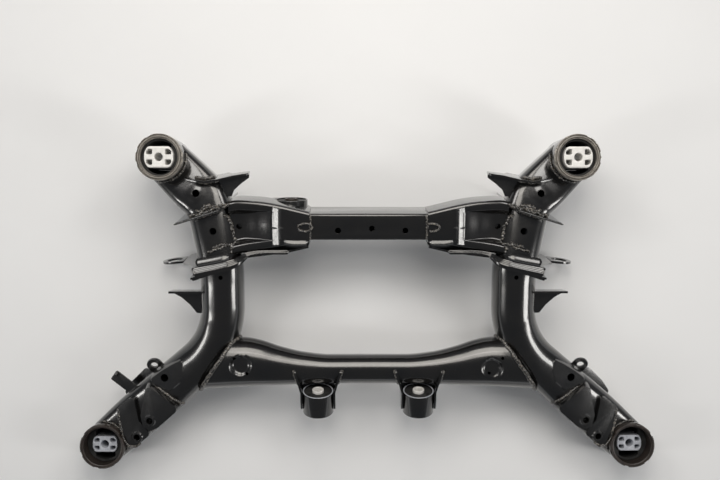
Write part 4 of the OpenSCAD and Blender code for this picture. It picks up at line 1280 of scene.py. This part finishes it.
studio = {
    "floor": (0.80, 0.805, 0.81), "floorSize": 9000, "floorRoughness": 0.7,
    "cloud": (3, 4, 0.55), "cloudStops": (0.3, 0.7), "cloudShade": 0.97,
    # pale walls low down, a dim ceiling over them, as shares of the height
    "walls": [(0.08, (0.82, 0.825, 0.83)), (0.2, (0.13, 0.135, 0.143))],
    "ceiling": 1700, "aim": (0, 0, 120),
    "lamps": [
        # name, place, width, depth, watts, colour
        ("rear_board", (0, 1290), 840, 920, 12.5, (1.0, 0.95, 0.88)),
        ("middle_board", (0, 590), 600, 480, 4.4, (1.0, 0.95, 0.88)),
        ("rear_left_board", (-870, 1100), 560, 760, 9.5, (1.0, 0.97, 0.93)),
        ("rear_right_board", (870, 1100), 560, 760, 9.5, (1.0, 0.97, 0.93)),
        ("left_softbox", (-1950, -610), 1100, 120, 6.5, (1.0, 0.98, 0.95)),
        ("left_card", (-2120, -470), 560, 130, 3.4, (1.0, 0.98, 0.95)),
        ("right_card", (2120, -470), 560, 130, 3.4, (1.0, 0.98, 0.95)),
        ("right_softbox", (2300, -760), 1200, 300, 14, (1.0, 0.98, 0.95)),
    ],
}
lookDown = {"place": (-32.5, 162.9, 1837.7), "aim": (-15.6, 123.4, 110), "lens": 45, "sensor": 36, "far": 100}


def buildFloor():
    half = studio["floorSize"] / 2
    corners = [(-half, -half, 0), (half, -half, 0), (half, half, 0), (-half, half, 0)]
    floor = meshPiece("studio_floor", corners, [(0, 1, 2, 3)])
    material, tree, shader, coords = nodeMaterial("pale_floor")
    cloud = noiseField(tree, coords, *studio["cloud"])
    low = tuple(studio["cloudShade"] * c for c in studio["floor"])
    base = rampColour(tree, cloud, zip(studio["cloudStops"], (low, studio["floor"])))
    tree.links.new(base, shader.inputs["Base Color"])
    shader.inputs["Roughness"].default_value = studio["floorRoughness"]
    floor.data.materials.append(material)


def aimed(place, target, up=(0, 1, 0)):
    # looks along its own -Z, with its own Y held towards up
    back = (Vector(place) - Vector(target)).normalized()
    right = Vector(up).cross(back).normalized()
    turn = Matrix((right, back.cross(right), back)).transposed().to_4x4()
    return Matrix.Translation(Vector(place) * mm) @ turn


def buildLight():
    for name, place, width, depth, watts, colour in studio["lamps"]:
        lamp = bpy.data.lights.new(name, "AREA")
        lamp.shape = "RECTANGLE"
        lamp.size = width * mm
        lamp.size_y = depth * mm
        lamp.energy = watts
        lamp.color = colour
        linkPiece(name, lamp).matrix_world = aimed((*place, studio["ceiling"]), studio["aim"])
    world = bpy.data.worlds.new("studio_sky")
    world.use_nodes = True
    tree = world.node_tree
    coords = tree.nodes.new("ShaderNodeTexCoord")
    parts = tree.nodes.new("ShaderNodeSeparateXYZ")
    tree.links.new(coords.outputs["Generated"], parts.inputs["Vector"])
    walls = rampColour(tree, parts.outputs["Z"], studio["walls"])
    tree.links.new(walls, tree.nodes["Background"].inputs["Color"])
    scene.world = world


def buildCamera():
    camera = linkPiece("camera", bpy.data.cameras.new("camera"))
    camera.data.lens = lookDown["lens"]
    camera.data.sensor_width = lookDown["sensor"]
    camera.data.clip_end = lookDown["far"]
    camera.matrix_world = aimed(lookDown["place"], lookDown["aim"])
    scene.camera = camera


buildFloor()
buildLight()
buildCamera()
print("floor, light and camera made")
